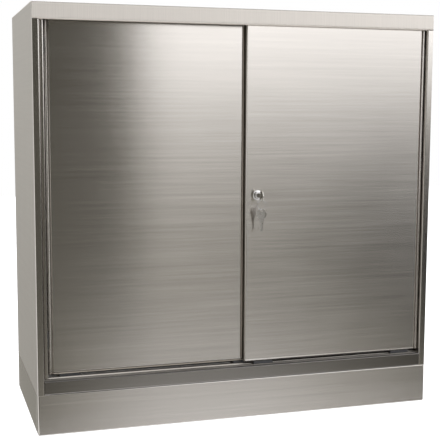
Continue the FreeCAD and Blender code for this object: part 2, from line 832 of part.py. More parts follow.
def make_running_gear(name):
    """Hangers, axles, rollers, bolts and guide shoes of one door."""
    _, face, low, _ = door_lines(name)
    seat = seat_line(face)
    behind = seat + s.plate
    _, edge = ledge_lines(face)
    spots = hanger_bolt_places(name)
    roller_far = edge - s.track_wall - ROLLER_GAP
    roller_near = roller_far - s.roller_width
    cap_radius, cap_thick = AXLE_CAP
    cap_depths = (roller_near - s.slack - cap_thick, roller_near - s.slack)
    rivet_radius, rivet_height = RIVET
    drill = (seat - OVER, behind + OVER)
    below, above = HANGER_REACH
    for side, x in roller_places(name):
        title = f"{name}{side}"
        tools = [
            rod(f"Hanger{title}Hole{i}", bolt_x, bolt_z, drill, HANGER_BOLT + HOLE_PLAY)
            for i, (bolt_x, bolt_z) in enumerate(spots)
        ]
        bore = rod(f"Hanger{title}Bore", x, axle_height, drill, s.axle_radius + AXLE_PLAY)
        across = (x - HANGER_HALF, x + HANGER_HALF)
        heights = (s.door_top - below, axle_height + above)
        plate = box(f"Hanger{title}Plate", across, (seat, behind), heights)
        keep(f"{name}_door_hanger_{side}", cut(f"Hanger{title}", plate, bore, *tools))
        shaft = rod(f"Axle{title}Shaft", x, axle_height, (cap_depths[0], behind), s.axle_radius)
        cap = rod(f"Axle{title}Cap", x, axle_height, cap_depths, cap_radius)
        rivet_depths = (behind, behind + rivet_height)
        rivet = rod(f"Axle{title}Rivet", x, axle_height, rivet_depths, rivet_radius)
        keep(f"{name}_axle_{side}", fuse(f"Axle{title}", shaft, cap, rivet))
        tyre_radius = s.roller_radius - ROLLER_PLAY
        tyre = rod(f"Roller{title}Tyre", x, axle_height, (roller_near, roller_far), tyre_radius)
        hole_depths = (roller_near - OVER, roller_far + OVER)
        hole = rod(f"Roller{title}Hole", x, axle_height, hole_depths, s.axle_radius + ROLLER_PLAY)
        keep(f"{name}_roller_{side}", cut(f"Roller{title}", tyre, hole))
    make_hanger_bolts(name, seat)
    near, far = groove_lines(face)
    shoes = [
        box(
            f"Shoe{name}{side}",
            (x - SHOE_HALF, x + SHOE_HALF),
            (near + SHOE_PLAY, far - SHOE_PLAY),
            (floor_top + s.track_wall + SHOE_RISE, low),
        )
        for side, x in roller_places(name)
    ]
    keep(f"{name}_door_guides", group(f"Guides{name}", shoes))


def make_hanger_bolts(name, seat):
    """The bolts that hold both hangers of a door to its inner panel."""
    radius, height = HANGER_HEAD
    behind = seat + s.plate
    bolts = []
    for i, (x, z) in enumerate(hanger_bolt_places(name)):
        title = f"HangerBolt{name}{i}"
        shank = rod(title + "Shank", x, z, (seat - HANGER_GRIP, behind), HANGER_BOLT)
        head = rod(title + "Head", x, z, (behind, behind + height), radius)
        bolts.append(fuse(title, shank, head))
    keep(f"{name}_hanger_bolts", group(f"HangerBolts{name}", bolts))


NUT_RADIUS = 13.5  # lock nut, over its corners
TAIL_REACH = 2  # how far the lock body stands out behind the door
TAIL_WALL = 1.5  # thickness of its closed end
LOCK_FIT = 0.05  # room round the sliding and turning pieces of the lock, on the radius
PIN_REST = 0.2  # end of the bolt to the end of the lock body when unlocked
BUTTON_REST = 1  # button to the closed end when it is pushed in
PLUG_LENGTH = 15  # depth of the hole that holds the plug
KEYWAY_END = 2  # bottom of that hole to the end of the keyway
KEYWAY = (1.25, 3.4)  # half width and half height of the keyway
STRIKE = (8, 4.5)  # radius and thickness of the strike
STRIKE_PLAY = 0.5  # room round the bolt in the strike, on the radius


def make_lock():
    """Push lock: pressed in, its bolt enters the strike on the rear door behind it."""
    x = s.lock_offset
    z = s.lock_height
    face = s.front_face
    boss = face - s.boss_length
    tail = face + s.door_thickness + TAIL_REACH
    body = fuse(
        "LockBodyWhole",
        rod("LockBoss", x, z, (boss, face), s.boss_radius),
        rod("LockBarrel", x, z, (face, tail), s.barrel_radius),
    )
    bore = rod("LockBore", x, z, (boss - OVER, tail - TAIL_WALL), s.plunger_radius + LOCK_FIT)
    pin_hole = rod("LockPinHole", x, z, (boss, tail + OVER), s.pin_radius + LOCK_FIT)
    keep("lock_body", cut("LockBody", body, bore, pin_hole))
    nut_depths = (seat_line(face), tail - s.slack)
    blank = doc.addObject("Part::Prism", "LockNutBlank")
    blank.Polygon = 6
    blank.Placement.Rotation = FreeCAD.Rotation(FreeCAD.Vector(1, 0, 0), -90)
    bind(blank, "Circumradius", NUT_RADIUS)
    bind(blank, "Height", nut_depths[1] - nut_depths[0])
    place(blank, x, nut_depths[0], z)
    nut_bore = rod("LockNutBore", x, z, (face, tail + OVER), s.barrel_radius)
    keep("lock_nut", cut("LockNut", blank, nut_bore))
    inner_end = tail - TAIL_WALL - s.plunger_travel - BUTTON_REST
    plunger = fuse(
        "PlungerWhole",
        rod("PlungerButton", x, z, (button_face, inner_end), s.plunger_radius),
        rod("PlungerPin", x, z, (inner_end, tail - PIN_REST), s.pin_radius),
    )
    plug_end = button_face + PLUG_LENGTH
    plug_hole = rod("PlungerBore", x, z, (button_face - OVER, plug_end), s.plug_radius + LOCK_FIT)
    keep("lock_plunger", cut("Plunger", plunger, plug_hole))
    plug = rod("PlugRound", x, z, (button_face, plug_end - s.slack), s.plug_radius)
    half_wide, half_high = KEYWAY
    keyway = box(
        "PlugKeyway",
        (x - half_wide, x + half_wide),
        (button_face - OVER, plug_end - KEYWAY_END),
        (z - half_high, z + half_high),
    )
    keep("lock_plug", cut("Plug", plug, keyway))
    radius, thick = STRIKE
    strike = rod("StrikeRound", x, z, (s.rear_face - thick, s.rear_face), radius)
    drill = (s.rear_face - thick - OVER, s.rear_face + OVER)
    strike_bore = rod("StrikeBore", x, z, drill, s.pin_radius + STRIKE_PLAY)
    keep("strike", cut("Strike", strike, strike_bore))


HOLE_DROP = 8  # the hole in the turned key's head, below the lock axis
NECK = 6  # how far blade and shoulder begin inside the key's head
BLADE = (3.2, 12)  # half height of the turned key's blade, and how far it enters the button
SHOULDER = (6, 0.5)  # half height of its shoulder, and the shoulder's distance from the button


def make_keys():
    """The key in the plug, the ring through its head and the spare key that hangs on it."""
    x = s.lock_offset
    z = s.lock_height
    half_key = s.key_plate / 2
    across = (x - half_key, x + half_key)
    head = disc("KeyHead", across, bow_centre, z, s.bow_radius)
    begin = bow_centre + NECK
    half_high, reach = BLADE
    blade = box("KeyBlade", across, (begin, button_face + reach), (z - half_high, z + half_high))
    half_high, gap = SHOULDER
    heights = (z - half_high, z + half_high)
    shoulder = box("KeyShoulder", across, (begin, button_face - gap), heights)
    drill = (x - half_key - OVER, x + half_key + OVER)
    hole = disc("KeyHole", drill, bow_centre, z - HOLE_DROP, s.key_hole)
    keep("key", cut("Key", fuse("KeyWhole", head, blade, shoulder), hole))
    ring_top = z - HOLE_DROP - s.key_hole + s.ring_wire + s.slack
    ring = doc.addObject("Part::Torus", "KeyRing")
    ring.Placement.Rotation = FreeCAD.Rotation(FreeCAD.Vector(1, 0, 0), -90)
    bind(ring, "Radius1", s.ring_radius)
    bind(ring, "Radius2", s.ring_wire)
    place(ring, x, bow_centre, ring_top - s.ring_radius)
    keep("key_ring", ring)
    make_spare_key(ring_top - s.ring_radius * 2)


SPARE_TURN = 48  # degrees that the spare key is turned about the vertical
SPARE_HOLE = 8.5  # the hole in its head, above the middle of the head
SPARE_PLAY = 0.8  # ring wire to the edge of that hole
SPARE_SHOULDER = (12, 10, 4)  # width, height and how far its lower end lies below the head
SPARE_BLADE = (7, 32, 30)  # width, height and how far its tip lies below the head


def make_spare_key(wire_height):
    """A key that hangs on the ring by the hole in its head, turned a little to the front."""
    hole_height = wire_height + s.ring_wire + SPARE_PLAY - s.key_hole
    half_key = s.key_plate / 2
    centre = hole_height - SPARE_HOLE
    head = spare_piece("Part::Cylinder", "SpareHead", half_key, 0, centre)
    bind(head, "Radius", s.bow_radius)
    bind(head, "Height", s.key_plate)
    pieces = [head]
    for title, (wide, high, below) in (("Shoulder", SPARE_SHOULDER), ("Blade", SPARE_BLADE)):
        tip = centre - s.bow_radius - below
        piece = spare_piece("Part::Box", "Spare" + title, half_key, wide / 2, tip)
        bind(piece, "Length", s.key_plate)
        bind(piece, "Width", wide)
        bind(piece, "Height", high)
        pieces.append(piece)
    hole = spare_piece("Part::Cylinder", "SpareHole", half_key + OVER, 0, hole_height)
    bind(hole, "Radius", s.key_hole)
    bind(hole, "Height", s.key_plate + OVER * 2)
    keep("spare_key", cut("SpareKey", fuse("SpareWhole", *pieces), hole))


def spare_piece(kind, name, behind, half_wide, height):
    """A block or disc of the spare key, on its slanted middle plane at a height."""
    piece = doc.addObject(kind, name)
    turn = FreeCAD.Rotation(FreeCAD.Vector(0, 0, 1), SPARE_TURN)
    along = turn.multVec(FreeCAD.Vector(1, 0, 0))
    sideways = turn.multVec(FreeCAD.Vector(0, 1, 0))
    if kind == "Part::Cylinder":
        turn = turn.multiply(FreeCAD.Rotation(FreeCAD.Vector(0, 1, 0), 90))
    piece.Placement.Rotation = turn
    x = s.lock_offset - as_size(behind) * along.x - half_wide * sideways.x
    depth = bow_centre - as_size(behind) * along.y - half_wide * sideways.y
    place(piece, x, depth, height)
    return piece


def build():
    """Make every piece in the order in which the cabinet is put together."""
    make_plinth()
    make_plinth_bolts()
    make_side_panels()
    make_top()
    make_bottom()
    make_back()
    make_tracks()
    make_jambs()
    make_roller_stops()
    for side, sign in SIDES:
        for row, depth in zip(("front", "rear"), upright_depths()):
            make_upright(f"upright_{row}_{side}", sign, depth)
    make_shelves()
    for name in ("front", "rear"):
        make_door(name)
        make_running_gear(name)
    make_lock()
    make_keys()
    doc.recompute()


def check():
    """Stop if any object failed or any piece isn't a sound solid."""
    for item in doc.Objects:
        if "Invalid" in item.State or "Error" in item.State:
            raise RuntimeError(f"{item.Name} failed: {item.State}")
    for node, shape in parts.items():
        if shape.Shape.isNull() or not shape.Shape.isValid() or not shape.Shape.Solids:
            raise RuntimeError(f"{node} has no sound solid")


def write():
    """Write each piece to a file of its own."""
    os.makedirs("parts", exist_ok=True)
    for node, shape in parts.items():
        shape.Shape.exportStep(f"parts/{node}.step")
        print(node, len(shape.Shape.Solids), round(shape.Shape.Volume / 1000, 2), "cm3")
    whole = Part.Compound([shape.Shape for shape in parts.values()])
    print(len(parts), "pieces in", whole.BoundBox)


build()
check()
write()
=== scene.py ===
# %% [markdown]
# # A stainless steel tool cabinet with two sliding doors
#
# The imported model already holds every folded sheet, door, track and shelf at its real size.
# This lesson gives those pieces their brushed, turned, moulded and plated finishes, puts
# finely made hardware in place of the plain lock, keys, rollers and bolts, and lights the
# cabinet as in a studio. Loading the frame comes first, because all later steps ask it
# where things are.

# %% Load the cabinet
import bpy
import bmesh
import math
from mathutils import Matrix, Vector


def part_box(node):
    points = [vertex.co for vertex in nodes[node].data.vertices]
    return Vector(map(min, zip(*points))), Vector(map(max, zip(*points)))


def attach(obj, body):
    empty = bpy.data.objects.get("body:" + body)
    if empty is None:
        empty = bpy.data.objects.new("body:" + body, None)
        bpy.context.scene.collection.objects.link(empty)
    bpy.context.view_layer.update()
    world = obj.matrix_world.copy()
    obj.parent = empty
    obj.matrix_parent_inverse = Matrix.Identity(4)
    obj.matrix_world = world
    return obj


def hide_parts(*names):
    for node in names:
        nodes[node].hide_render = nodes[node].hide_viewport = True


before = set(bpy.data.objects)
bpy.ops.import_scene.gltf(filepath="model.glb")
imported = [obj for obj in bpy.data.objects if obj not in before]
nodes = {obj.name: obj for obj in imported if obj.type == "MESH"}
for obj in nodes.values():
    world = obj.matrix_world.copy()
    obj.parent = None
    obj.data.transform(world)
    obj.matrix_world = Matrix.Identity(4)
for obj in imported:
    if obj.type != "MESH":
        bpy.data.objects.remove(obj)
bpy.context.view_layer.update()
MM = 0.001

# %% [markdown]
# ## The camera
#
# The camera stands to the left of the middle, at three quarters of the cabinet's height, and
# looks slightly down. Three directions describe that exactly: where the lens points, which
# way is right in the picture and which way is up. They form the camera's turning matrix.
# Setting the matrix is surer than Euler angles, because no order of turns has to be chosen.

# %% Stand the camera to the left of the doors
EYE = Vector((-0.7554, -2.4304, 0.7605))
FORWARD = Vector((0.29578, 0.94839, -0.11435)).normalized()
DOWN = Vector((-0.02981, -0.11048, -0.99343))
RIGHT = FORWARD.cross(DOWN).normalized() * -1
UP = RIGHT.cross(FORWARD)
FOCAL_LENGTH = 80.14
SENSOR_WIDTH = 36

lens = bpy.data.cameras.new("studio_camera")
lens.lens = FOCAL_LENGTH
lens.sensor_width = SENSOR_WIDTH
camera = bpy.data.objects.new("studio_camera", lens)
camera.matrix_world = Matrix.Translation(EYE) @ Matrix((RIGHT, UP, -FORWARD)).transposed().to_4x4()
bpy.context.scene.collection.objects.link(camera)
bpy.context.scene.camera = camera
print("camera looks", [round(value, 3) for value in FORWARD])

# %% [markdown]
# ## Arithmetic with shader nodes
#
# A brushed finish needs a lot of small sums: streaks added to clouds, faded with height,
# scaled and limited. Building each sum by hand takes four lines for every node. A small
# class wraps a node's output instead and overloads +, - and *, so that a sum reads as a
# sum. The class for a finish holds the node tree, and its one method adds any other node.

# %% Write node sums as Python sums
class Signal:
    """The output of a node, which can be added, subtracted and multiplied."""

    def __init__(self, finish, socket):
        self.finish = finish
        self.socket = socket

    def sum_node(self, operation, first, second):
        """A Math node on two values or outputs."""
        return self.finish.add("ShaderNodeMath", {"operation": operation}, {0: first, 1: second})

    def __add__(self, other):
        return self.sum_node("ADD", self, other)

    def __sub__(self, other):
        return self.sum_node("SUBTRACT", self, other)

    def __rsub__(self, other):
        return self.sum_node("SUBTRACT", other, self)

    def __mul__(self, other):
        return self.sum_node("MULTIPLY", self, other)

    def __abs__(self):
        return self.sum_node("ABSOLUTE", self, 0)

    def limited(self, low, high):
        """The same value, kept between two limits."""
        return self.sum_node("MINIMUM", self.sum_node("MAXIMUM", self, low), high)

    __radd__ = __add__
    __rmul__ = __mul__


# %% Hold a finish while it is being made
class Finish:
    """A material in the making. Its patterns read the place on the object, in metres."""

    def __init__(self, name):
        self.material = bpy.data.materials.new(name)
        self.material.use_nodes = True
        self.tree = self.material.node_tree
        self.tree.nodes.clear()
        self.place = self.add("ShaderNodeTexCoord", {}, {}, "Object")

    def add(self, kind, settings, inputs, output=0):
        """Add a node: its settings first, then a value or a link for each socket."""
        node = self.tree.nodes.new(kind)
        for name, value in settings.items():
            setattr(node, name, value)
        for key, value in inputs.items():
            if isinstance(value, Signal):
                self.tree.links.new(value.socket, node.inputs[key])
            else:
                node.inputs[key].default_value = value
        return Signal(self, node.outputs[output])

    def close(self, shader):
        """Put the shader on the material, and give the material back."""
        surface = self.tree.nodes.new("ShaderNodeOutputMaterial").inputs["Surface"]
        self.tree.links.new(shader.socket, surface)
        print("finish", self.material.name, "has", len(self.tree.nodes), "nodes")
        return self.material


# %% [markdown]
# ## Patterns that most finishes share
#
# Wear and grain come from noise. Where a pattern has a direction, as abrasive belts leave
# it, the noise is squeezed across that direction by a Mapping node before it is read. The
# same noise unsqueezed gives the clouds of handling and cleaning. Bumps can lie on each
# other: each one disturbs the direction that the one before it gives.

# %% Read noise, squeezed or not
def noise(finish, scale, detail=3.0, roughness=0.5):
    """Noise from 0 to 1 whose scale on each axis is in turns per metre."""
    squeezed = finish.add("ShaderNodeMapping", {}, {"Vector": finish.place, "Scale": scale})
    inputs = {"Vector": squeezed, "Scale": 1.0, "Detail": detail, "Roughness": roughness}
    return finish.add("ShaderNodeTexNoise", {}, inputs, "Fac")


def even(finish, scale, detail=3.0, roughness=0.5):
    """Noise that is the same in all directions."""
    return noise(finish, (scale, scale, scale), detail, roughness)


def blend_colours(finish, share, first, second):
    """A colour between two others, the first of which may be a pattern itself."""
    first = first if isinstance(first, Signal) else (*first, 1)
    return finish.add("ShaderNodeMix", {"data_type": "RGBA"}, {0: share, 6: first, 7: (*second, 1)}, 2)


# %% Read bumps, heights and the way that faces look
def bumped(finish, pattern, distance, over=None):
    """The surface's direction on a pattern that rises by a distance in metres."""
    inputs = {"Height": pattern, "Distance": distance, "Strength": 1.0}
    if over:
        inputs["Normal"] = over
    return finish.add("ShaderNodeBump", {}, inputs)


def height_on(finish):
    """The height above the floor, in metres."""
    return finish.add("ShaderNodeSeparateXYZ", {}, {0: finish.place}, "Z")


def facing(finish, axis):
    """How much a face looks along an axis, from -1 to 1."""
    direction = finish.add("ShaderNodeNewGeometry", {}, {}, "Normal")
    return finish.add("ShaderNodeSeparateXYZ", {}, {0: direction}, axis)


# %% [markdown]
# ## Brushed stainless steel
#
# The belt leaves thousands of hair-fine scratches in one direction. They spread a
# reflection across the scratches far more than along them, which the shader calls
# anisotropy. Sheets also differ: a smooth door, a plinth that has been kicked, a sill
# darkened by painted shade. So one function makes them all, with the way of the grain, the
# tone, which carries painted light and shade, and the wear as arguments. Three sizes of streak
# are laid over each other, because only the coarsest shows from across the room and only the
# finest shows up close.

# %% Mix the steel and choose its streaks
STEEL_LIGHT = (0.705, 0.665, 0.615)
STEEL_DARK = (0.595, 0.56, 0.515)
# The colour below is painted shade for faces that look up.
PAINTED_SHADE_COLOUR = (0.09, 0.085, 0.08)
CONTRAST = 1.8
SCUFF_FADE = 14  # share of the scuffs that is lost per metre of height
GRAIN_TURN = 0.25  # a quarter turn, so that light spreads across the grain
GROOVE_DEPTH = 0.00002  # in metres, as the two below
WAVE_DEPTH = 0.0002
HEM, HEM_DEPTH = 0.0065, 0.0021

# The medium, broad and fine streaks of each grain, in turns per metre along x, y and z.
GRAIN_X = ((3.0, 260.0, 260.0), (1.6, 90.0, 90.0), (9.0, 1500.0, 1500.0))
GRAIN_Y = ((260.0, 3.0, 260.0), (90.0, 1.6, 90.0), (1500.0, 9.0, 1500.0))
GRAIN_Z = ((700.0, 700.0, 6.0), (400.0, 400.0, 4.0), (1500.0, 1500.0, 9.0))


# %% Make a brushed sheet
def brushed(name, grain, rough, stretch, front_rough=None, scuffs=0.0, painted_shade=0.0, shade=1.0, foot=None):
    """Brushed sheet with its grain, its roughness and how far the grain stretches light.

    Faces to the front can have a roughness of their own, scuffs roughen the lowest strip,
    painted shade darkens faces that look up, and shade scales both tones, as painted light
    above 1 and painted shade below 1. A sheet with a foot, a height in metres, rolls back
    just above it, so that it catches the floor's light.
    """
    finish = Finish(name)
    medium = noise(finish, grain[0], 4.0, 0.6)
    broad = noise(finish, grain[1], 3.0, 0.55)
    fine = noise(finish, grain[2], 2.0, 0.7)
    cloud = even(finish, 3.5, 3.0)
    tone = (medium * 0.45 + broad * 0.35 + fine * 0.2 - 0.5) * CONTRAST + 0.5
    # shade scales both tones: painted light on the band, painted shade on the rail.
    dark, light = ([value * shade for value in steel] for steel in (STEEL_DARK, STEEL_LIGHT))
    colour = blend_colours(finish, tone.limited(0, 1), dark, light)
    roughness = (medium - 0.5) * 0.05 + (cloud - 0.5) * 0.04 + rough
    if scuffs:
        low = (1 - height_on(finish) * SCUFF_FADE).limited(0, 1)
        roughness = roughness + low * even(finish, 60.0, 5.0, 0.7) * scuffs
    if front_rough:
        to_front = (facing(finish, "Y") * -1).limited(0, 1)
        roughness = roughness + to_front * (front_rough - rough)
    # Painted shade: faces that look up are darkened towards that colour, and roughened.
    if painted_shade:
        upwards = (facing(finish, "Z") * 2).limited(0, 1)
        painted_shade_share = ((cloud * 0.4 + 0.8) * upwards * painted_shade).limited(0, 1)
        colour = blend_colours(finish, painted_shade_share, colour, PAINTED_SHADE_COLOUR)
        roughness = roughness + upwards * 0.3
    hem = None
    if foot:
        above = ((height_on(finish) - foot) * (1 / HEM)).limited(0, 1)
        hem = bumped(finish, above * (2 - above), HEM_DEPTH)
    waves = bumped(finish, cloud, WAVE_DEPTH, over=hem)
    inputs = {
        "Base Color": colour,
        "Metallic": 1.0,
        "Roughness": roughness.limited(0.1, 0.8),
        "Anisotropic": stretch,
        "Anisotropic Rotation": GRAIN_TURN,
        "Normal": bumped(finish, fine * 0.5 + medium * 0.5, GROOVE_DEPTH, over=waves),
    }
    return finish.close(finish.add("ShaderNodeBsdfPrincipled", {}, inputs))


# %% [markdown]
# Every sheet gets its own grain and wear. The band's tones are raised by painted light, the
# rail's are lowered by painted shade, and both have painted shade on their tops. The band along
# the top has no stretch, because its finish also covers the top, where light that is stretched
# round the middle would draw a fan.

# %% Brush the five kinds of sheet
door_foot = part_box("front_door_pan")[0].z
door_steel = brushed("door_steel_brushed", GRAIN_X, 0.50, 0.9, front_rough=0.16, foot=door_foot)
# Painted light raises the band's tones, and painted shade darkens its top.
band_steel = brushed("band_steel_brushed", GRAIN_Z, 0.56, 0.0, painted_shade=0.5, shade=1.42)
# Painted shade lowers the rail's tones and darkens its top.
rail_steel = brushed("rail_steel_brushed", GRAIN_X, 0.16, 0.6, painted_shade=0.9, shade=0.50)
side_steel = brushed("side_steel_brushed", GRAIN_Y, 0.34, 0.6, front_rough=0.14)
plinth_steel = brushed("plinth_steel_brushed", GRAIN_X, 0.20, 0.85, scuffs=0.1)

# %% [markdown]
# ## Sheet that nobody polishes
#
# Shelves, floor, back, uprights and the inner faces of the doors keep the dull skin of the
# rolling mill: paler, rougher, and clouded where the pickling acid dried. Rolling leaves a
# faint direction as well, so the clouds are stretched a little along the sheet. The tracks
# are drawn metal of the same kind, and the lower one is darker, as painted shade in the gap
# under the doors.

# %% Make mill-finished sheet
ROLLING_DEPTH = 0.00005  # in metres


def milled(name, light, dark, rough):
    """Dull rolled sheet between two tones."""
    finish = Finish(name)
    cloud = noise(finish, (4.0, 9.0, 9.0), 5.0, 0.6)
    speck = even(finish, 420.0, 2.0, 0.6)
    rolled = noise(finish, (5.0, 300.0, 300.0), 3.0, 0.6)
    tone = (cloud * 0.6 + rolled * 0.4 - 0.5) * 2.0 + 0.5
    colour = blend_colours(finish, tone.limited(0, 1), dark, light)
    inputs = {
        "Base Color": colour,
        "Metallic": 1.0,
        "Roughness": ((cloud - 0.5) * 0.25 + (speck - 0.5) * 0.1 + rough).limited(0.2, 0.85),
        "Normal": bumped(finish, speck * 0.4 + rolled * 0.6, ROLLING_DEPTH),
    }
    return finish.close(finish.add("ShaderNodeBsdfPrincipled", {}, inputs))


inner_steel = milled("inner_steel_milled", (0.66, 0.65, 0.63), (0.50, 0.49, 0.47), 0.48)
track_metal = milled("track_aluminium", (0.74, 0.73, 0.71), (0.60, 0.59, 0.57), 0.40)
# The lower track's darker tones are painted shade.
shaded_track = milled("track_painted_shade", (0.62, 0.585, 0.53), (0.38, 0.355, 0.32), 0.46)


# %% [markdown]
# ## Plated, turned and moulded finishes
#
# Zinc on bolts and hangers shows small crystals in two greys. Chrome on the lock and nickel
# on the key shine softly under hairline scratches, and the spare key's nickel is painted
# dark, as painted shade where the key hangs against the door.
# Nylon and rubber don't conduct, so they are not metallic: both are black, nylon has a soft
# sheen and a moulding grain, and rubber is rough and a little dusty.

# %% Make the plated finishes
def plated(name, light, dark, rough, crystals, scratch=0.00001):
    """A thin bright coat with crystals, in cells per metre, and scratches of a depth in metres."""
    finish = Finish(name)
    grain = {"Vector": finish.place, "Scale": crystals}
    cells = finish.add("ShaderNodeTexVoronoi", {}, grain, "Color")
    shade = finish.add("ShaderNodeSeparateColor", {}, {0: cells}, 0)
    hair = noise(finish, (900.0, 2200.0, 500.0), 3.0, 0.7)
    dust = even(finish, 160.0, 4.0, 0.6)
    inputs = {
        "Base Color": blend_colours(finish, (shade * 0.6 + dust * 0.4).limited(0, 1), dark, light),
        "Metallic": 1.0,
        "Roughness": (rough + (dust - 0.5) * rough + (shade - 0.5) * 0.06).limited(0.04, 0.7),
        "Normal": bumped(finish, hair, scratch),
    }
    return finish.close(finish.add("ShaderNodeBsdfPrincipled", {}, inputs))


zinc = plated("zinc_plated", (0.80, 0.81, 0.80), (0.58, 0.60, 0.60), 0.34, 900.0, scratch=0.00002)
chrome = plated("lock_chromed", (0.90, 0.89, 0.88), (0.78, 0.77, 0.76), 0.24, 300.0)
nickel = plated("key_nickelled", (0.76, 0.73, 0.68), (0.56, 0.53, 0.48), 0.24, 500.0)
# Painted shade: the spare key's nickel is much darker than the key's.
shaded_nickel = plated("key_painted_shade", (0.44, 0.42, 0.39), (0.26, 0.245, 0.22), 0.30, 500.0)
spring_steel = plated("ring_spring_steel", (0.74, 0.74, 0.74), (0.52, 0.52, 0.53), 0.2, 700.0)


# %% Make nylon and rubber
SKIN_DEPTH = 0.00006  # in metres


def moulded(name, light, dark, rough, grain, coat):
    """Moulded plastic or rubber with a fine grain and a dusting."""
    finish = Finish(name)
    skin = even(finish, grain, 3.0, 0.6)
    dust = even(finish, 45.0, 4.0, 0.6)
    inputs = {
        "Base Color": blend_colours(finish, (dust * 0.7 + skin * 0.3).limited(0, 1), dark, light),
        "Roughness": ((dust - 0.5) * 0.2 + rough).limited(0.15, 0.95),
        "Coat Weight": coat,
        "Coat Roughness": 0.3,
        "Normal": bumped(finish, skin, SKIN_DEPTH),
    }
    return finish.close(finish.add("ShaderNodeBsdfPrincipled", {}, inputs))


nylon = moulded("nylon_moulded", (0.075, 0.075, 0.078), (0.03, 0.03, 0.032), 0.42, 900.0, 0.15)
rubber = moulded("rubber_moulded", (0.055, 0.054, 0.052), (0.018, 0.018, 0.018), 0.72, 1400.0, 0.0)

# %% [markdown]
# ## Dress the nodes of the model
#
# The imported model's pieces have the right shape already, so each keeps its mesh and only
# gets the finish of its kind. A table of names is easier to read and to check than a long
# row of assignments, and a check at the end shows that no node was forgotten.

# %% Give every node its finish
FINISHES = {
    door_steel: ["front_door_pan", "rear_door_pan"],
    band_steel: ["top_panel"],
    rail_steel: ["bottom_panel"],
    side_steel: ["side_panel_left", "side_panel_right", "jamb_left", "jamb_right"],
    plinth_steel: ["plinth_front", "plinth_rear", "plinth_side_left", "plinth_side_right"],
    inner_steel: [
        "back_panel", "floor_panel", "shelf_lower", "shelf_upper",
        "upright_front_left", "upright_front_right", "upright_rear_left", "upright_rear_right",
        "front_door_inner_panel", "rear_door_inner_panel",
        "front_door_stiffener", "rear_door_stiffener",
    ],
    track_metal: ["header_track"],
    shaded_track: ["bottom_track"],
    zinc: [
        "plinth_splices", "plinth_bolts", "shelf_clips_lower", "shelf_clips_upper",
        "front_door_hanger_left", "front_door_hanger_right", "front_hanger_bolts",
        "rear_door_hanger_left", "rear_door_hanger_right", "rear_hanger_bolts",
        "front_axle_left", "front_axle_right", "rear_axle_left", "rear_axle_right", "lock_nut",
    ],
    nylon: [
        "front_roller_left", "front_roller_right", "rear_roller_left", "rear_roller_right",
        "front_door_guides", "rear_door_guides",
    ],
    rubber: ["jamb_buffers_left", "jamb_buffers_right", "roller_stops"],
    chrome: ["lock_body", "lock_plunger", "lock_plug", "strike"],
    nickel: ["key"],
    shaded_nickel: ["spare_key"],
    spring_steel: ["key_ring"],
}
dressed = set()
for finish_material, names in FINISHES.items():
    for name in names:
        mesh = nodes[name].data
        mesh.materials.clear()
        mesh.materials.append(finish_material)
        dressed.add(name)
print("nodes without a finish:", sorted(set(nodes) - dressed))

# %% [markdown]
# ## Soften the small blocks
#
# A moulded or stamped block never has a knife edge, and a rounded edge is what catches the
# light, on the folded plinth too. The nodes' meshes are loose triangles, so a Weld modifier
# joins them before a Bevel modifier can find the edges. Both are modifiers, so the mesh
# itself stays as packed.

# %% Weld and bevel the small nodes
EDGES = {
    "plinth_front": 1.6, "plinth_rear": 1.6, "plinth_side_left": 1.6, "plinth_side_right": 1.6,
    "roller_stops": 0.8, "jamb_buffers_left": 0.5, "jamb_buffers_right": 0.5,
    "front_door_guides": 0.8, "rear_door_guides": 0.8, "plinth_splices": 0.4,
    "shelf_clips_lower": 0.3, "shelf_clips_upper": 0.3,
    "front_door_hanger_left": 0.35, "front_door_hanger_right": 0.35,
    "rear_door_hanger_left": 0.35, "rear_door_hanger_right": 0.35,
}
WELD_DISTANCE = 0.00001  # in metres
SHARP_EDGE = 50  # degrees between the faces beside an edge


def softening(node, width, segments):
    """A Bevel modifier with a width in millimetres, after a Weld."""
    node.modifiers.new("weld", "WELD").merge_threshold = WELD_DISTANCE
    bevel = node.modifiers.new("soften", "BEVEL")
    bevel.width = width * MM
    bevel.segments = segments
    return bevel


for name, width in EDGES.items():
    bevel = softening(nodes[name], width, segments=2)
    bevel.limit_method = "ANGLE"
    bevel.angle_limit = math.radians(SHARP_EDGE)
print("softened", len(EDGES), "nodes")

# %% [markdown]
# ## The doors' lower edges
#
# A door's sheet is folded back at its foot. Only that fold is rounded here, because the
# upright folds have their radius already and the top edge hides behind the band. So the
# points along it go into a vertex group, and the Bevel is limited to the group.

# %% Roll the doors' lower edges
EDGE_REACH = 0.05 * MM  # how near to the corner a point of the fold lies

for name in ("front_door_pan", "rear_door_pan"):
    door, corner = nodes[name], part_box(name)[0]
    fold = door.vertex_groups.new(name="lower_edge")
    on_fold = [point.index for point in door.data.vertices
               if point.co.z < corner.z + EDGE_REACH and point.co.y < corner.y + EDGE_REACH]
    fold.add(on_fold, 1.0, "REPLACE")
    bevel = softening(door, 1.0, segments=3)
    bevel.limit_method = "VGROUP"
    bevel.vertex_group = fold.name
    print(name, "has", len(on_fold), "points on its lower edge")

# %% [markdown]
# ## Turned pieces
#
# The lock, its button, the rollers and the axles all come off a lathe: a profile is turned
# round an axis. Here every axis runs from the front to the back of the cabinet, so one
# helper spins a list of depths and radii into a closed mesh. It makes quads in rings, which
# shade smoothly, and it splits the shading where the profile has a sharp corner.

# %% Turn a profile round an axis
SHARP_CORNER = 35  # degrees past which the shading splits
SAME_POINT = 1e-6  # metres within which two points are one


def finished_mesh(name, build, material):
    """A mesh object from a finished bmesh, with normals outwards and sharp corners kept."""
    bmesh.ops.remove_doubles(build, verts=build.verts, dist=SAME_POINT)
    bmesh.ops.recalc_face_normals(build, faces=build.faces)
    mesh = bpy.data.meshes.new(name)
    build.to_mesh(mesh)
    build.free()
    mesh.materials.append(material)
    mesh.shade_smooth()
    mesh.set_sharp_from_angle(angle=math.radians(SHARP_CORNER))
    piece = bpy.data.objects.new(name, mesh)
    bpy.context.scene.collection.objects.link(piece)
    return piece


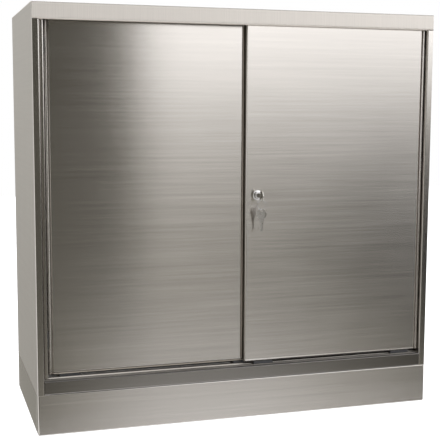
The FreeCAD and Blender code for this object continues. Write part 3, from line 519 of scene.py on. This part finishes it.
def add_turned(build, x, z, profile, steps=48):
    """Spin (depth, radius) pairs, in millimetres, round the line through x and z."""
    rings = []
    for depth, radius in profile:
        ring = []
        for step in range(steps if radius > 0 else 1):
            angle = 2 * math.pi * step / steps
            spot = (x + radius * math.cos(angle), depth, z + radius * math.sin(angle))
            ring.append(build.verts.new(Vector(spot) * MM))
        rings.append(ring)
    for near, far in zip(rings, rings[1:]):
        for step in range(steps):
            after = (step + 1) % steps
            corners = [near[step % len(near)], near[after % len(near)],
                       far[after % len(far)], far[step % len(far)]]
            build.faces.new(list(dict.fromkeys(corners)))


def turned(name, x, z, profile, material, steps=48):
    """One turned piece. A profile that starts and ends on the same pair is a ring."""
    build = bmesh.new()
    add_turned(build, x, z, profile, steps)
    return finished_mesh(name, build, material)


def centre(node):
    """The middle of a node, in millimetres."""
    low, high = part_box(node)
    return (low + high) / 2 / MM


def stand_for(piece, node, body):
    """Hide a plain node and let the fine piece move in its place."""
    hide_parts(node)
    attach(piece, body)
    print(piece.name, "stands for", node)


# %% [markdown]
# ## The lock
#
# A push lock has a collar that sits on the door, a button that the thumb pushes in, and a
# plug that the key turns. The collar has a chamfer and a fine groove, the button a rounded
# rim. Turning them from profiles gives those rims their real highlights, and a plain
# cylinder would not.

# %% Turn the collar
LOCK = centre("lock_plug")
COLLAR, BARREL, BUTTON, BOLT = 12.0, 9.5, 8.0, 3.5  # radii in millimetres
PLAY = 0.1  # round the button
HOLE = BOLT + 0.05
COLLAR_DEPTH = 6
END_WALL = 1.5

collar_low, collar_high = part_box("lock_body")
near, far = collar_low.y / MM, collar_high.y / MM
face = near + COLLAR_DEPTH
collar = turned("lock_collar", LOCK.x, LOCK.z, [
    (near + 0.4, BUTTON + PLAY), (near, 8.5), (near, 10.6), (near + 0.5, 11.4), (near + 1.6, 11.9),
    (near + 2.2, COLLAR), (near + 2.5, 11.6), (near + 2.9, 11.6), (near + 3.2, COLLAR),
    (face - 0.2, COLLAR), (face, 11.8), (face, BARREL), (far - 0.6, BARREL), (far, 8.9),
    (far, HOLE), (far - END_WALL, HOLE), (far - END_WALL, BUTTON + PLAY),
    (near + 0.4, BUTTON + PLAY),
], chrome, 64)
stand_for(collar, "lock_body", "front_door")

# %% Turn the button with its bolt, then bore it for the plug
TRAVEL, SLACK = 4.5, 1
PLUG, PLUG_DEPTH = 4.55, 15  # the bore that holds the plug

button_low, button_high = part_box("lock_plunger")
tip, tail = button_low.y / MM, button_high.y / MM
shoulder = far - END_WALL - TRAVEL - SLACK
button = turned("lock_button", LOCK.x, LOCK.z, [
    (tip, PLUG), (tip, 6.6), (tip + 0.25, 7.3), (tip + 0.8, 7.8), (tip + 1.6, BUTTON),
    (shoulder, BUTTON), (shoulder, BOLT), (tail - 0.6, BOLT), (tail, 2.9), (tail, 0),
], chrome, 64)
bore = bmesh.new()
bore.from_mesh(button.data)
add_turned(bore, LOCK.x, LOCK.z, [(tip, PLUG), (tip + PLUG_DEPTH, PLUG), (tip + PLUG_DEPTH, 0)], 64)
bpy.data.objects.remove(button)
button = finished_mesh("lock_button", bore, chrome)
stand_for(button, "lock_plunger", "push_button")

# %% Turn the strike on the rear door
STRIKE, STRIKE_HOLE, CHAMFER = 8.0, 4.0, 0.8

strike_low, strike_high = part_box("strike")
front_edge, foot = strike_low.y / MM, strike_high.y / MM
strike = turned("strike_ring", LOCK.x, LOCK.z, [
    (front_edge + CHAMFER, STRIKE_HOLE), (front_edge, STRIKE_HOLE + CHAMFER),
    (front_edge, STRIKE - CHAMFER), (front_edge + CHAMFER, STRIKE),
    (foot, STRIKE), (foot, STRIKE_HOLE), (front_edge + CHAMFER, STRIKE_HOLE),
], chrome)
stand_for(strike, "strike", "rear_door")

# %% [markdown]
# ## Rollers and axles
#
# Each door hangs on two nylon rollers with a steel bearing in the middle. The tyre has
# rounded shoulders so that it climbs over a stray chip. Tyre and bearing turn together
# round the axle, so they are one mesh with two finishes, and the axle is a separate rivet
# with a domed head.

# %% Turn the rollers
TYRE, TYRE_SIDE, BEARING = 9.95, 8.8, 5.8  # radii in millimetres


def roller(node, body):
    """Nylon tyre round a steel bearing, in the place of a plain roller."""
    spot = centre(node)
    low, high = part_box(node)
    near, far = low.y / MM, high.y / MM
    build = bmesh.new()
    add_turned(build, spot.x, spot.z, [
        (near + 0.3, BEARING), (near, 6.1), (near, TYRE_SIDE), (near + 0.35, 9.6), (near + 1.1, TYRE),
        (far - 1.1, TYRE), (far - 0.35, 9.6), (far, TYRE_SIDE), (far, 6.1), (far - 0.3, BEARING),
        (near + 0.3, BEARING),
    ], 64)
    tyre_faces = len(build.faces)
    add_turned(build, spot.x, spot.z, [
        (near + 0.3, 2.6), (near + 0.1, 2.8), (near + 0.1, 3.6), (near + 0.5, 3.8),
        (near + 0.5, 4.9), (near + 0.1, 5.1), (near + 0.1, 5.7), (near + 0.3, BEARING),
        (far - 0.3, BEARING), (far - 0.1, 5.7), (far - 0.1, 5.1), (far - 0.5, 4.9),
        (far - 0.5, 3.8), (far - 0.1, 3.6), (far - 0.1, 2.8), (far - 0.3, 2.6), (near + 0.3, 2.6),
    ], 64)
    for index, side in enumerate(build.faces):
        side.material_index = 0 if index < tyre_faces else 1
    piece = finished_mesh(node + "_turned", build, nylon)
    piece.data.materials.append(zinc)
    stand_for(piece, node, body)


# %% Turn the axles
SHAFT = 2.5


def axle(node, body):
    """A rivet through the hanger: a thin cap in front, a shaft and a domed head behind."""
    spot = centre(node)
    low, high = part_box(node)
    near, far = low.y / MM, high.y / MM
    piece = turned(node + "_turned", spot.x, spot.z, [
        (near, 0), (near, 3.4), (near + 0.3, 4.0), (near + 1.0, 4.0), (near + 1.0, SHAFT),
        (far - 1.5, SHAFT), (far - 1.5, 4.5), (far - 1.1, 4.4), (far - 0.5, 3.6),
        (far - 0.15, 2.4), (far, 1.1), (far, 0),
    ], zinc)
    stand_for(piece, node, body)


for door in ("front", "rear"):
    for side in ("left", "right"):
        roller(f"{door}_roller_{side}", f"{door}_roller_{side}")
        axle(f"{door}_axle_{side}", f"{door}_door")

# %% [markdown]
# ## Keys
#
# A key is stamped from flat strip: a round head with a hole, a shoulder, and a blade with
# cuts for the lock's discs. A flat curve draws such an outline best, because it takes a
# hole as a second loop and rolls its edges over by itself. The curve becomes a mesh before
# it is turned into place.

# %% Draw a key's outline
HEAD, KEY_HOLE = 13, 3.5  # radii in millimetres
SHOULDER, BLADE = 5.6, 3.1  # half their widths
NECK_END, SHOULDER_END, FIRST_CUT = 14.2, 20.5, 23  # from the middle of the head
POINT, TIP = 3, 0.6  # how far the blade tapers, and half the width of its end


def key_outline(cuts, length):
    """Points of a key that points along +x, round a head centred on the origin."""
    points = []
    for degrees in range(24, 337, 6):
        angle = math.radians(degrees)
        points.append((HEAD * math.cos(angle), HEAD * math.sin(angle)))
    points += [(NECK_END, -SHOULDER), (SHOULDER_END, -SHOULDER), (SHOULDER_END, -BLADE)]
    points += [(length - POINT, -BLADE), (length, -TIP), (length, TIP), (length - 2, BLADE - cuts[-1])]
    pitch = (length - POINT - FIRST_CUT) / len(cuts)
    for index in reversed(range(len(cuts))):
        start = FIRST_CUT + pitch * index
        bottom = BLADE - cuts[index]
        points += [(start + pitch * 0.8, bottom), (start + pitch * 0.25, bottom), (start, BLADE)]
    return points + [(SHOULDER_END, BLADE), (SHOULDER_END, SHOULDER), (NECK_END, SHOULDER)]


def round_hole(x, y):
    """Points round a key's hole."""
    angles = [math.radians(degrees) for degrees in range(0, 360, 12)]
    return [(x + KEY_HOLE * math.cos(angle), y + KEY_HOLE * math.sin(angle)) for angle in angles]


# %% Stamp a key
ROLLED_EDGE = 0.25 * MM
HALF_STRIP = 0.8 * MM


def stamped_key(name, hole, cuts, length, placing, finish):
    """A key with rolled edges, moved into place by a matrix."""
    curve = bpy.data.curves.new(name + "_outline", "CURVE")
    curve.dimensions = "2D"
    curve.fill_mode = "BOTH"
    curve.bevel_depth = ROLLED_EDGE
    curve.bevel_resolution = 2
    curve.extrude = HALF_STRIP
    curve.offset = -ROLLED_EDGE
    for loop in (key_outline(cuts, length), round_hole(*hole)):
        spline = curve.splines.new("POLY")
        spline.points.add(len(loop) - 1)
        spline.points.foreach_set("co", [value * MM for x, y in loop for value in (x, y, 0, 1 / MM)])
        spline.use_cyclic_u = True
    drawing = bpy.data.objects.new(name + "_outline", curve)
    bpy.context.scene.collection.objects.link(drawing)
    depsgraph = bpy.context.evaluated_depsgraph_get()
    build = bmesh.new()
    build.from_mesh(bpy.data.meshes.new_from_object(drawing.evaluated_get(depsgraph)))
    bpy.data.objects.remove(drawing)
    build.transform(placing)
    return finished_mesh(name, build, finish)


# %% Put the key into the lock
low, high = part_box("key")
head_y = low.y / MM + HEAD
turn_key = Matrix(((0, 0, 1, 0), (1, 0, 0, 0), (0, 1, 0, 0), (0, 0, 0, 1)))
place_key = Matrix.Translation(Vector((LOCK.x, head_y, LOCK.z)) * MM) @ turn_key
key_cuts = (1.2, 2.0, 0.8, 1.6)
key = stamped_key("key_stamped", (0, -8), key_cuts, 28, place_key, nickel)
stand_for(key, "key", "turned_key")

# %% Hang the spare key
low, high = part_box("spare_key")
spare_z = high.z / MM - HEAD
slant = math.radians(48)  # how far the ring turns the key away from the door
down = Vector((0, 0, -1))
sideways = Vector((-math.sin(slant), math.cos(slant), 0))
normal = down.cross(sideways)
turn_spare = Matrix((down, sideways, normal)).transposed().to_4x4()
place_spare = Matrix.Translation(Vector((LOCK.x, head_y, spare_z)) * MM) @ turn_spare
spare_cuts = (0.8, 2.2, 1.4, 1.8, 1.0)
# The spare key's dark nickel is painted shade.
spare = stamped_key("spare_key_stamped", (-8.5, 0), spare_cuts, 43, place_spare, shaded_nickel)
stand_for(spare, "spare_key", "spare")

# %% [markdown]
# ## The split ring
#
# The ring is spring wire wound nearly twice round, so that keys can be threaded on. A
# spiral is a rule, not a drawing, so Geometry Nodes make it: a Spiral curve, swept with a
# small circle. The tree's inputs carry the real sizes, and the result becomes a plain mesh.

# %% Build a tree with named inputs
def new_tree(name, inputs):
    """An empty Geometry Nodes tree with a geometry input and the given number inputs."""
    tree = bpy.data.node_groups.new(name, "GeometryNodeTree")
    tree.interface.new_socket("Geometry", in_out="INPUT", socket_type="NodeSocketGeometry")
    for label, kind in inputs.items():
        tree.interface.new_socket(label, in_out="INPUT", socket_type=kind)
    tree.interface.new_socket("Geometry", in_out="OUTPUT", socket_type="NodeSocketGeometry")
    return tree


def tree_node(tree, kind, inputs, output=0):
    """Add one node to a tree, with a value or a link for each input, and give back an output."""
    node = tree.nodes.new(kind)
    for key, value in inputs.items():
        if isinstance(value, bpy.types.NodeSocket):
            tree.links.new(value, node.inputs[key])
        else:
            node.inputs[key].default_value = value
    return node.outputs[output]


def grown(name, tree, carrier, values):
    """Run a tree on a mesh and give back the result as one plain mesh object."""
    host = bpy.data.objects.new(name + "_host", carrier)
    bpy.context.scene.collection.objects.link(host)
    growth = host.modifiers.new("grow", "NODES")
    growth.node_group = tree
    for item in tree.interface.items_tree:
        if item.in_out == "INPUT" and item.name in values:
            growth[item.identifier] = values[item.name]
    depsgraph = bpy.context.evaluated_depsgraph_get()
    mesh = bpy.data.meshes.new_from_object(host.evaluated_get(depsgraph))
    host.modifiers.remove(growth)
    bpy.data.objects.remove(host)
    mesh.name = name
    piece = bpy.data.objects.new(name, mesh)
    bpy.context.scene.collection.objects.link(piece)
    print(name, "has", len(mesh.polygons), "faces")
    return piece


# %% Write the ring's tree
TURNS = 1.9
TO_THE_FRONT = (math.radians(90), math.radians(200), 0)

ring_tree = new_tree("split_ring", {
    "Radius": "NodeSocketFloat", "Wire": "NodeSocketFloat", "Pitch": "NodeSocketFloat",
    "Finish": "NodeSocketMaterial", "Middle": "NodeSocketVector",
})
sizes = ring_tree.nodes.new("NodeGroupInput").outputs
spiral = tree_node(ring_tree, "GeometryNodeCurveSpiral", {
    "Resolution": 64, "Rotations": TURNS, "Start Radius": sizes["Radius"],
    "End Radius": sizes["Radius"], "Height": sizes["Pitch"],
})
wire = tree_node(ring_tree, "GeometryNodeCurvePrimitiveCircle", {
    "Resolution": 12, "Radius": sizes["Wire"],
})
swept = tree_node(ring_tree, "GeometryNodeCurveToMesh", {
    "Curve": spiral, "Profile Curve": wire, "Fill Caps": True,
})
placed = tree_node(ring_tree, "GeometryNodeTransform", {
    "Geometry": swept, "Translation": sizes["Middle"], "Rotation": TO_THE_FRONT,
})
real = tree_node(ring_tree, "GeometryNodeRealizeInstances", {"Geometry": placed})
coated = tree_node(ring_tree, "GeometryNodeSetMaterial", {
    "Geometry": real, "Material": sizes["Finish"],
})
ring_tree.links.new(coated, ring_tree.nodes.new("NodeGroupOutput").inputs[0])
print("the ring's tree has", len(ring_tree.nodes), "nodes")

# %% Wind the split ring
low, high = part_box("key_ring")
wire_radius = (high.y - low.y) / 4
ring_radius = (high.x - low.x) / 2 - wire_radius
middle = (low + high) / 2
middle.y += wire_radius
ring = grown("split_ring", ring_tree, bpy.data.meshes.new("empty"), {
    "Radius": ring_radius, "Wire": wire_radius, "Pitch": wire_radius * 2 * TURNS,
    "Finish": spring_steel, "Middle": tuple(middle),
})
ring.data.shade_smooth()
stand_for(ring, "key_ring", "ring")
print("ring is", round(ring.dimensions.x / MM, 2), "mm across")

# %% [markdown]
# ## Bolts in rows
#
# Twelve small bolts hold the hangers to the doors and six larger ones hold the cabinet to
# its plinth. One bolt is modelled with its chamfered head and washer, and a tree sets it on
# every point of a list. Each group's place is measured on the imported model, and only the
# spacing inside a group is written here.

# %% Model a hexagon head
CHAMFER_DEPTH, CHAMFERED = 0.13, 0.86  # as shares of a head's radius


def hexagon(build, y, radius):
    """Six corners round the y axis at a depth, in millimetres."""
    angles = [math.radians(60 * corner) for corner in range(6)]
    spots = [Vector((radius * math.cos(angle), y, radius * math.sin(angle))) for angle in angles]
    return [build.verts.new(spot * MM) for spot in spots]


def wall(build, one, other):
    """The six faces between two hexagons."""
    for corner in range(6):
        after = (corner + 1) % 6
        build.faces.new((one[corner], one[after], other[after], other[corner]))


def hex_head(build, start, end, radius):
    """A chamfered hexagon between two depths. Its free end is the second one."""
    way = 1 if end > start else -1
    rings = [hexagon(build, start, radius), hexagon(build, end - way * radius * CHAMFER_DEPTH, radius),
             hexagon(build, end, radius * CHAMFERED)]
    for one, other in zip(rings, rings[1:]):
        wall(build, one, other)
    build.faces.new(rings[0])
    build.faces.new(rings[-1])


# %% Model the two bolts
def bolt_pattern(name, shank, washers, heads):
    """A bolt round the y axis from turned profiles and hexagon heads."""
    build = bmesh.new()
    for profile in (shank, *washers):
        add_turned(build, 0, 0, profile, 24)
    for start, end, radius in heads:
        hex_head(build, start, end, radius)
    return finished_mesh(name, build, zinc)


small_bolt = bolt_pattern(
    "small_bolt", [(-5, 0), (-5, 2.2), (-4.6, 2.5), (0, 2.5), (0, 0)],
    [[(0, 0), (0, 4.5), (0.35, 4.5), (0.6, 4.1), (0.6, 0)]], [(0.6, 2.0, 4.0)],
)
large_bolt = bolt_pattern(
    "large_bolt", [(-3.2, 0), (-3.2, 4.0), (0, 4.0), (0, 0)],
    [[(0, 0), (0, 6.5), (0.7, 6.5), (0.9, 6.2), (0.9, 0)],
     [(-3.2, 0), (-3.2, 6.5), (-3.9, 6.5), (-4.1, 6.2), (-4.1, 0)]],
    [(0.9, 5.0, 6.3), (-4.1, -8.2, 6.3)],
)

# %% Set bolts on points
bolt_tree = new_tree("bolts_on_points", {
    "Bolt": "NodeSocketObject", "Turn": "NodeSocketVector", "Finish": "NodeSocketMaterial",
})
sizes = bolt_tree.nodes.new("NodeGroupInput").outputs
spots = tree_node(bolt_tree, "GeometryNodeMeshToPoints", {"Mesh": sizes["Geometry"]})
pattern = tree_node(bolt_tree, "GeometryNodeObjectInfo", {"Object": sizes["Bolt"]}, "Geometry")
copies = tree_node(bolt_tree, "GeometryNodeInstanceOnPoints", {
    "Points": spots, "Instance": pattern, "Rotation": sizes["Turn"],
})
real = tree_node(bolt_tree, "GeometryNodeRealizeInstances", {"Geometry": copies})
coated = tree_node(bolt_tree, "GeometryNodeSetMaterial", {
    "Geometry": real, "Material": sizes["Finish"],
})
bolt_tree.links.new(coated, bolt_tree.nodes.new("NodeGroupOutput").inputs[0])
print("the bolts' tree has", len(bolt_tree.nodes), "nodes")


def set_bolts(name, pattern, points, turn):
    """Bolts on a list of points, as one piece."""
    carrier = bpy.data.meshes.new(name)
    carrier.from_pydata([tuple(point) for point in points], [], [])
    return grown(name, bolt_tree, carrier, {"Bolt": pattern, "Turn": turn, "Finish": zinc})


# %% Bolt the hangers to the doors
SMALL_WASHER, SMALL_HEAD = 4.5 * MM, 2 * MM  # radius and height
APART, LOWER = 11 * MM, 18 * MM  # the two upper bolts from the middle, and the third below

for door in ("front", "rear"):
    low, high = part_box(f"{door}_hanger_bolts")
    top, back = high.z - SMALL_WASHER, high.y - SMALL_HEAD
    points = []
    for side in ("left", "right"):
        x = centre(f"{door}_door_hanger_{side}").x * MM
        points += [Vector((x + apart, back, top)) for apart in (-APART, APART)]
        points.append(Vector((x, back, top - LOWER)))
    bolts = set_bolts(f"{door}_hex_bolts", small_bolt, points, (0, 0, 0))
    stand_for(bolts, f"{door}_hanger_bolts", f"{door}_door")

# %% Bolt the cabinet to its plinth
LARGE_WASHER, LARGE_HEAD = 6.5 * MM, 5 * MM

low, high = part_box("plinth_bolts")
upper = high.z - LARGE_HEAD
across = (low.x + LARGE_WASHER, high.x - LARGE_WASHER)
depths = (low.y + LARGE_WASHER, (low.y + high.y) / 2, high.y - LARGE_WASHER)
points = [Vector((x, y, upper)) for x in across for y in depths]
bolts = set_bolts("plinth_hex_bolts", large_bolt, points, (math.radians(90), 0, 0))
stand_for(bolts, "plinth_bolts", "carcass")
for pattern in (small_bolt, large_bolt):
    bpy.data.objects.remove(pattern)

# %% Put a chamfered nut behind the lock
NUT = 13.5
NUT_HOLE = BARREL / math.cos(math.radians(30))  # a hexagon round the barrel

low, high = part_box("lock_nut")
build = bmesh.new()
near, far = low.y / MM, high.y / MM
section = ((near, 13.0), (near + 0.5, NUT), (far - 0.6, NUT), (far, 12.4), (far, NUT_HOLE),
           (near, NUT_HOLE))
rings = [hexagon(build, y, radius) for y, radius in section]
for one, other in zip(rings, rings[1:] + rings[:1]):
    wall(build, one, other)
build.transform(Matrix.Translation(Vector((LOCK.x, 0, LOCK.z)) * MM))
nut = finished_mesh("lock_hex_nut", build, zinc)
stand_for(nut, "lock_nut", "front_door")

# %% [markdown]
# ## Floor and light
#
# The cabinet stands on a plain pale floor. Brushed steel has almost no colour of its own:
# all that it shows is the room that it mirrors, so the light matters more here than for
# any painted thing. The room is a world of soft bright and dark areas, as large diffusers
# and black cards give, and the camera itself sees plain white behind the cabinet. That
# world includes a floor for the steel to mirror, so reflections leave out the real one.

# %% Lay the floor
FLOOR_REACH = 6.0  # metres from the middle to an edge
FLOOR_GLOW = 0.35

build = bmesh.new()
bmesh.ops.create_grid(build, x_segments=24, y_segments=24, size=FLOOR_REACH)
floor_finish = Finish("studio_floor")
mottle = even(floor_finish, 1.2, 4.0)
floor_material = floor_finish.close(floor_finish.add("ShaderNodeBsdfPrincipled", {}, {
    "Base Color": blend_colours(floor_finish, mottle, (0.90, 0.90, 0.90), (0.94, 0.94, 0.94)),
    "Roughness": 0.9,
    "Emission Color": (1.0, 1.0, 1.0, 1.0),
    "Emission Strength": FLOOR_GLOW,
}))
floor = finished_mesh("studio_floor", build, floor_material)
floor.visible_glossy = False

# %% Open the room's node tree
DEGREES = 180 / math.pi

world = bpy.data.worlds.new("studio")
bpy.context.scene.world = world
world.use_nodes = True
world.node_tree.nodes.clear()


class Room(Finish):
    """The world's node tree, with the same sums as a finish."""

    def __init__(self, tree):
        self.tree = tree


room = Room(world.node_tree)
direction = room.add("ShaderNodeTexCoord", {}, {}, "Generated")
axes = room.add("ShaderNodeSeparateXYZ", {}, {0: direction}, "X").socket.node.outputs
to_right, to_back, to_top = (Signal(room, axes[name]) for name in "XYZ")
bearing = room.add("ShaderNodeMath", {"operation": "ARCTAN2"}, {0: to_right, 1: to_back * -1}) * DEGREES
rise = room.add("ShaderNodeMath", {"operation": "ARCSINE"}, {0: to_top}) * DEGREES


# %% [markdown]
# The bearing is 0 straight in front of the doors and grows to the right. Each diffuser is
# one row of a table: where it begins and ends across, where it begins and ends upwards, and
# how bright it is. Every edge is a pair of degrees, between which the light fades in or out,
# because a hard edge would show in the doors as a line. Behind the cabinet the room is dim,
# and dark places mirror a warm room, bright ones a cool lamp.

# %% Hang diffusers round the cabinet
def fading(value, edge):
    """0 at the first degree of an edge and 1 at the second, in either direction."""
    inputs = {"Value": value, "From Min": edge[0], "From Max": edge[1]}
    return room.add("ShaderNodeMapRange", {"interpolation_type": "SMOOTHSTEP"}, inputs)


WARM, COOL, WHITE = (1.0, 0.955, 0.80), (0.955, 0.965, 1.0), (1, 1, 1, 1)
REAR_LOW, REAR_GAIN = 0.23, 0.38  # brightness behind, low down and how much more above

DIFFUSERS = {
    "key wall": ((11.0, 14.2), (130, 100), (-4.0, 7.5), (40, 18), 2.2),
    "under the key": ((11.0, 14.2), (31.0, 10.0), (-17.4, -9.4), (7.5, -4.0), 0.37),
    "black wall": ((-60, -35), (14.2, 11.0), (-4.0, 7.5), (60, 30), 0.085),
    "black wall, low": ((-60, -35), (14.2, 11.0), (-17.4, -9.4), (7.5, -4.0), 0.10),
    "left wall": ((-150, -110), (-35, -60), (-60, -30), (60, 30), 0.8),
    "floor before it": ((-95, -65), (95, 65), (-91, -90), (-9.4, -17.4), 0.145),
    "bright floor": ((5, 14), (34, 19), (-91, -90), (-14.5, -17.5), 0.82),
    "floor at its feet": ((-95, -65), (95, 65), (-91, -90), (-28, -40), 0.75),
    "left rear": ((-168, -155), (-80, -100), (-75, -55), (8, -8), 0.5),
    "right rear": ((80, 100), (168, 155), (-75, -55), (8, -8), 0.5),
    "ceiling": ((-181, -180), (181, 180), (20, 55), (181, 180), 1.6),
}
brightness = 0.0
for left, right, low, high, power in DIFFUSERS.values():
    brightness = brightness + (fading(bearing, left) * fading(bearing, right)
                               * fading(rise, low) * fading(rise, high) * power)
behind = fading(abs(bearing), (95, 150))
brightness = brightness + behind * (fading(rise, (-25, 15)) * REAR_GAIN + REAR_LOW)

# %% Show the camera plain white behind the cabinet
seen = room.add("ShaderNodeLightPath", {}, {}, "Is Camera Ray")
strength = brightness * (1 - seen) + seen
tint = blend_colours(room, brightness.limited(0, 1), WARM, COOL)
whitened = room.add("ShaderNodeMix", {"data_type": "RGBA"}, {0: seen, 6: tint, 7: WHITE}, 2)
light = room.add("ShaderNodeBackground", {}, {"Color": whitened, "Strength": strength})
output = world.node_tree.nodes.new("ShaderNodeOutputWorld")
world.node_tree.links.new(light.socket, output.inputs["Surface"])
bpy.context.scene.view_settings.view_transform = "Standard"
print("hung", len(DIFFUSERS), "diffusers")
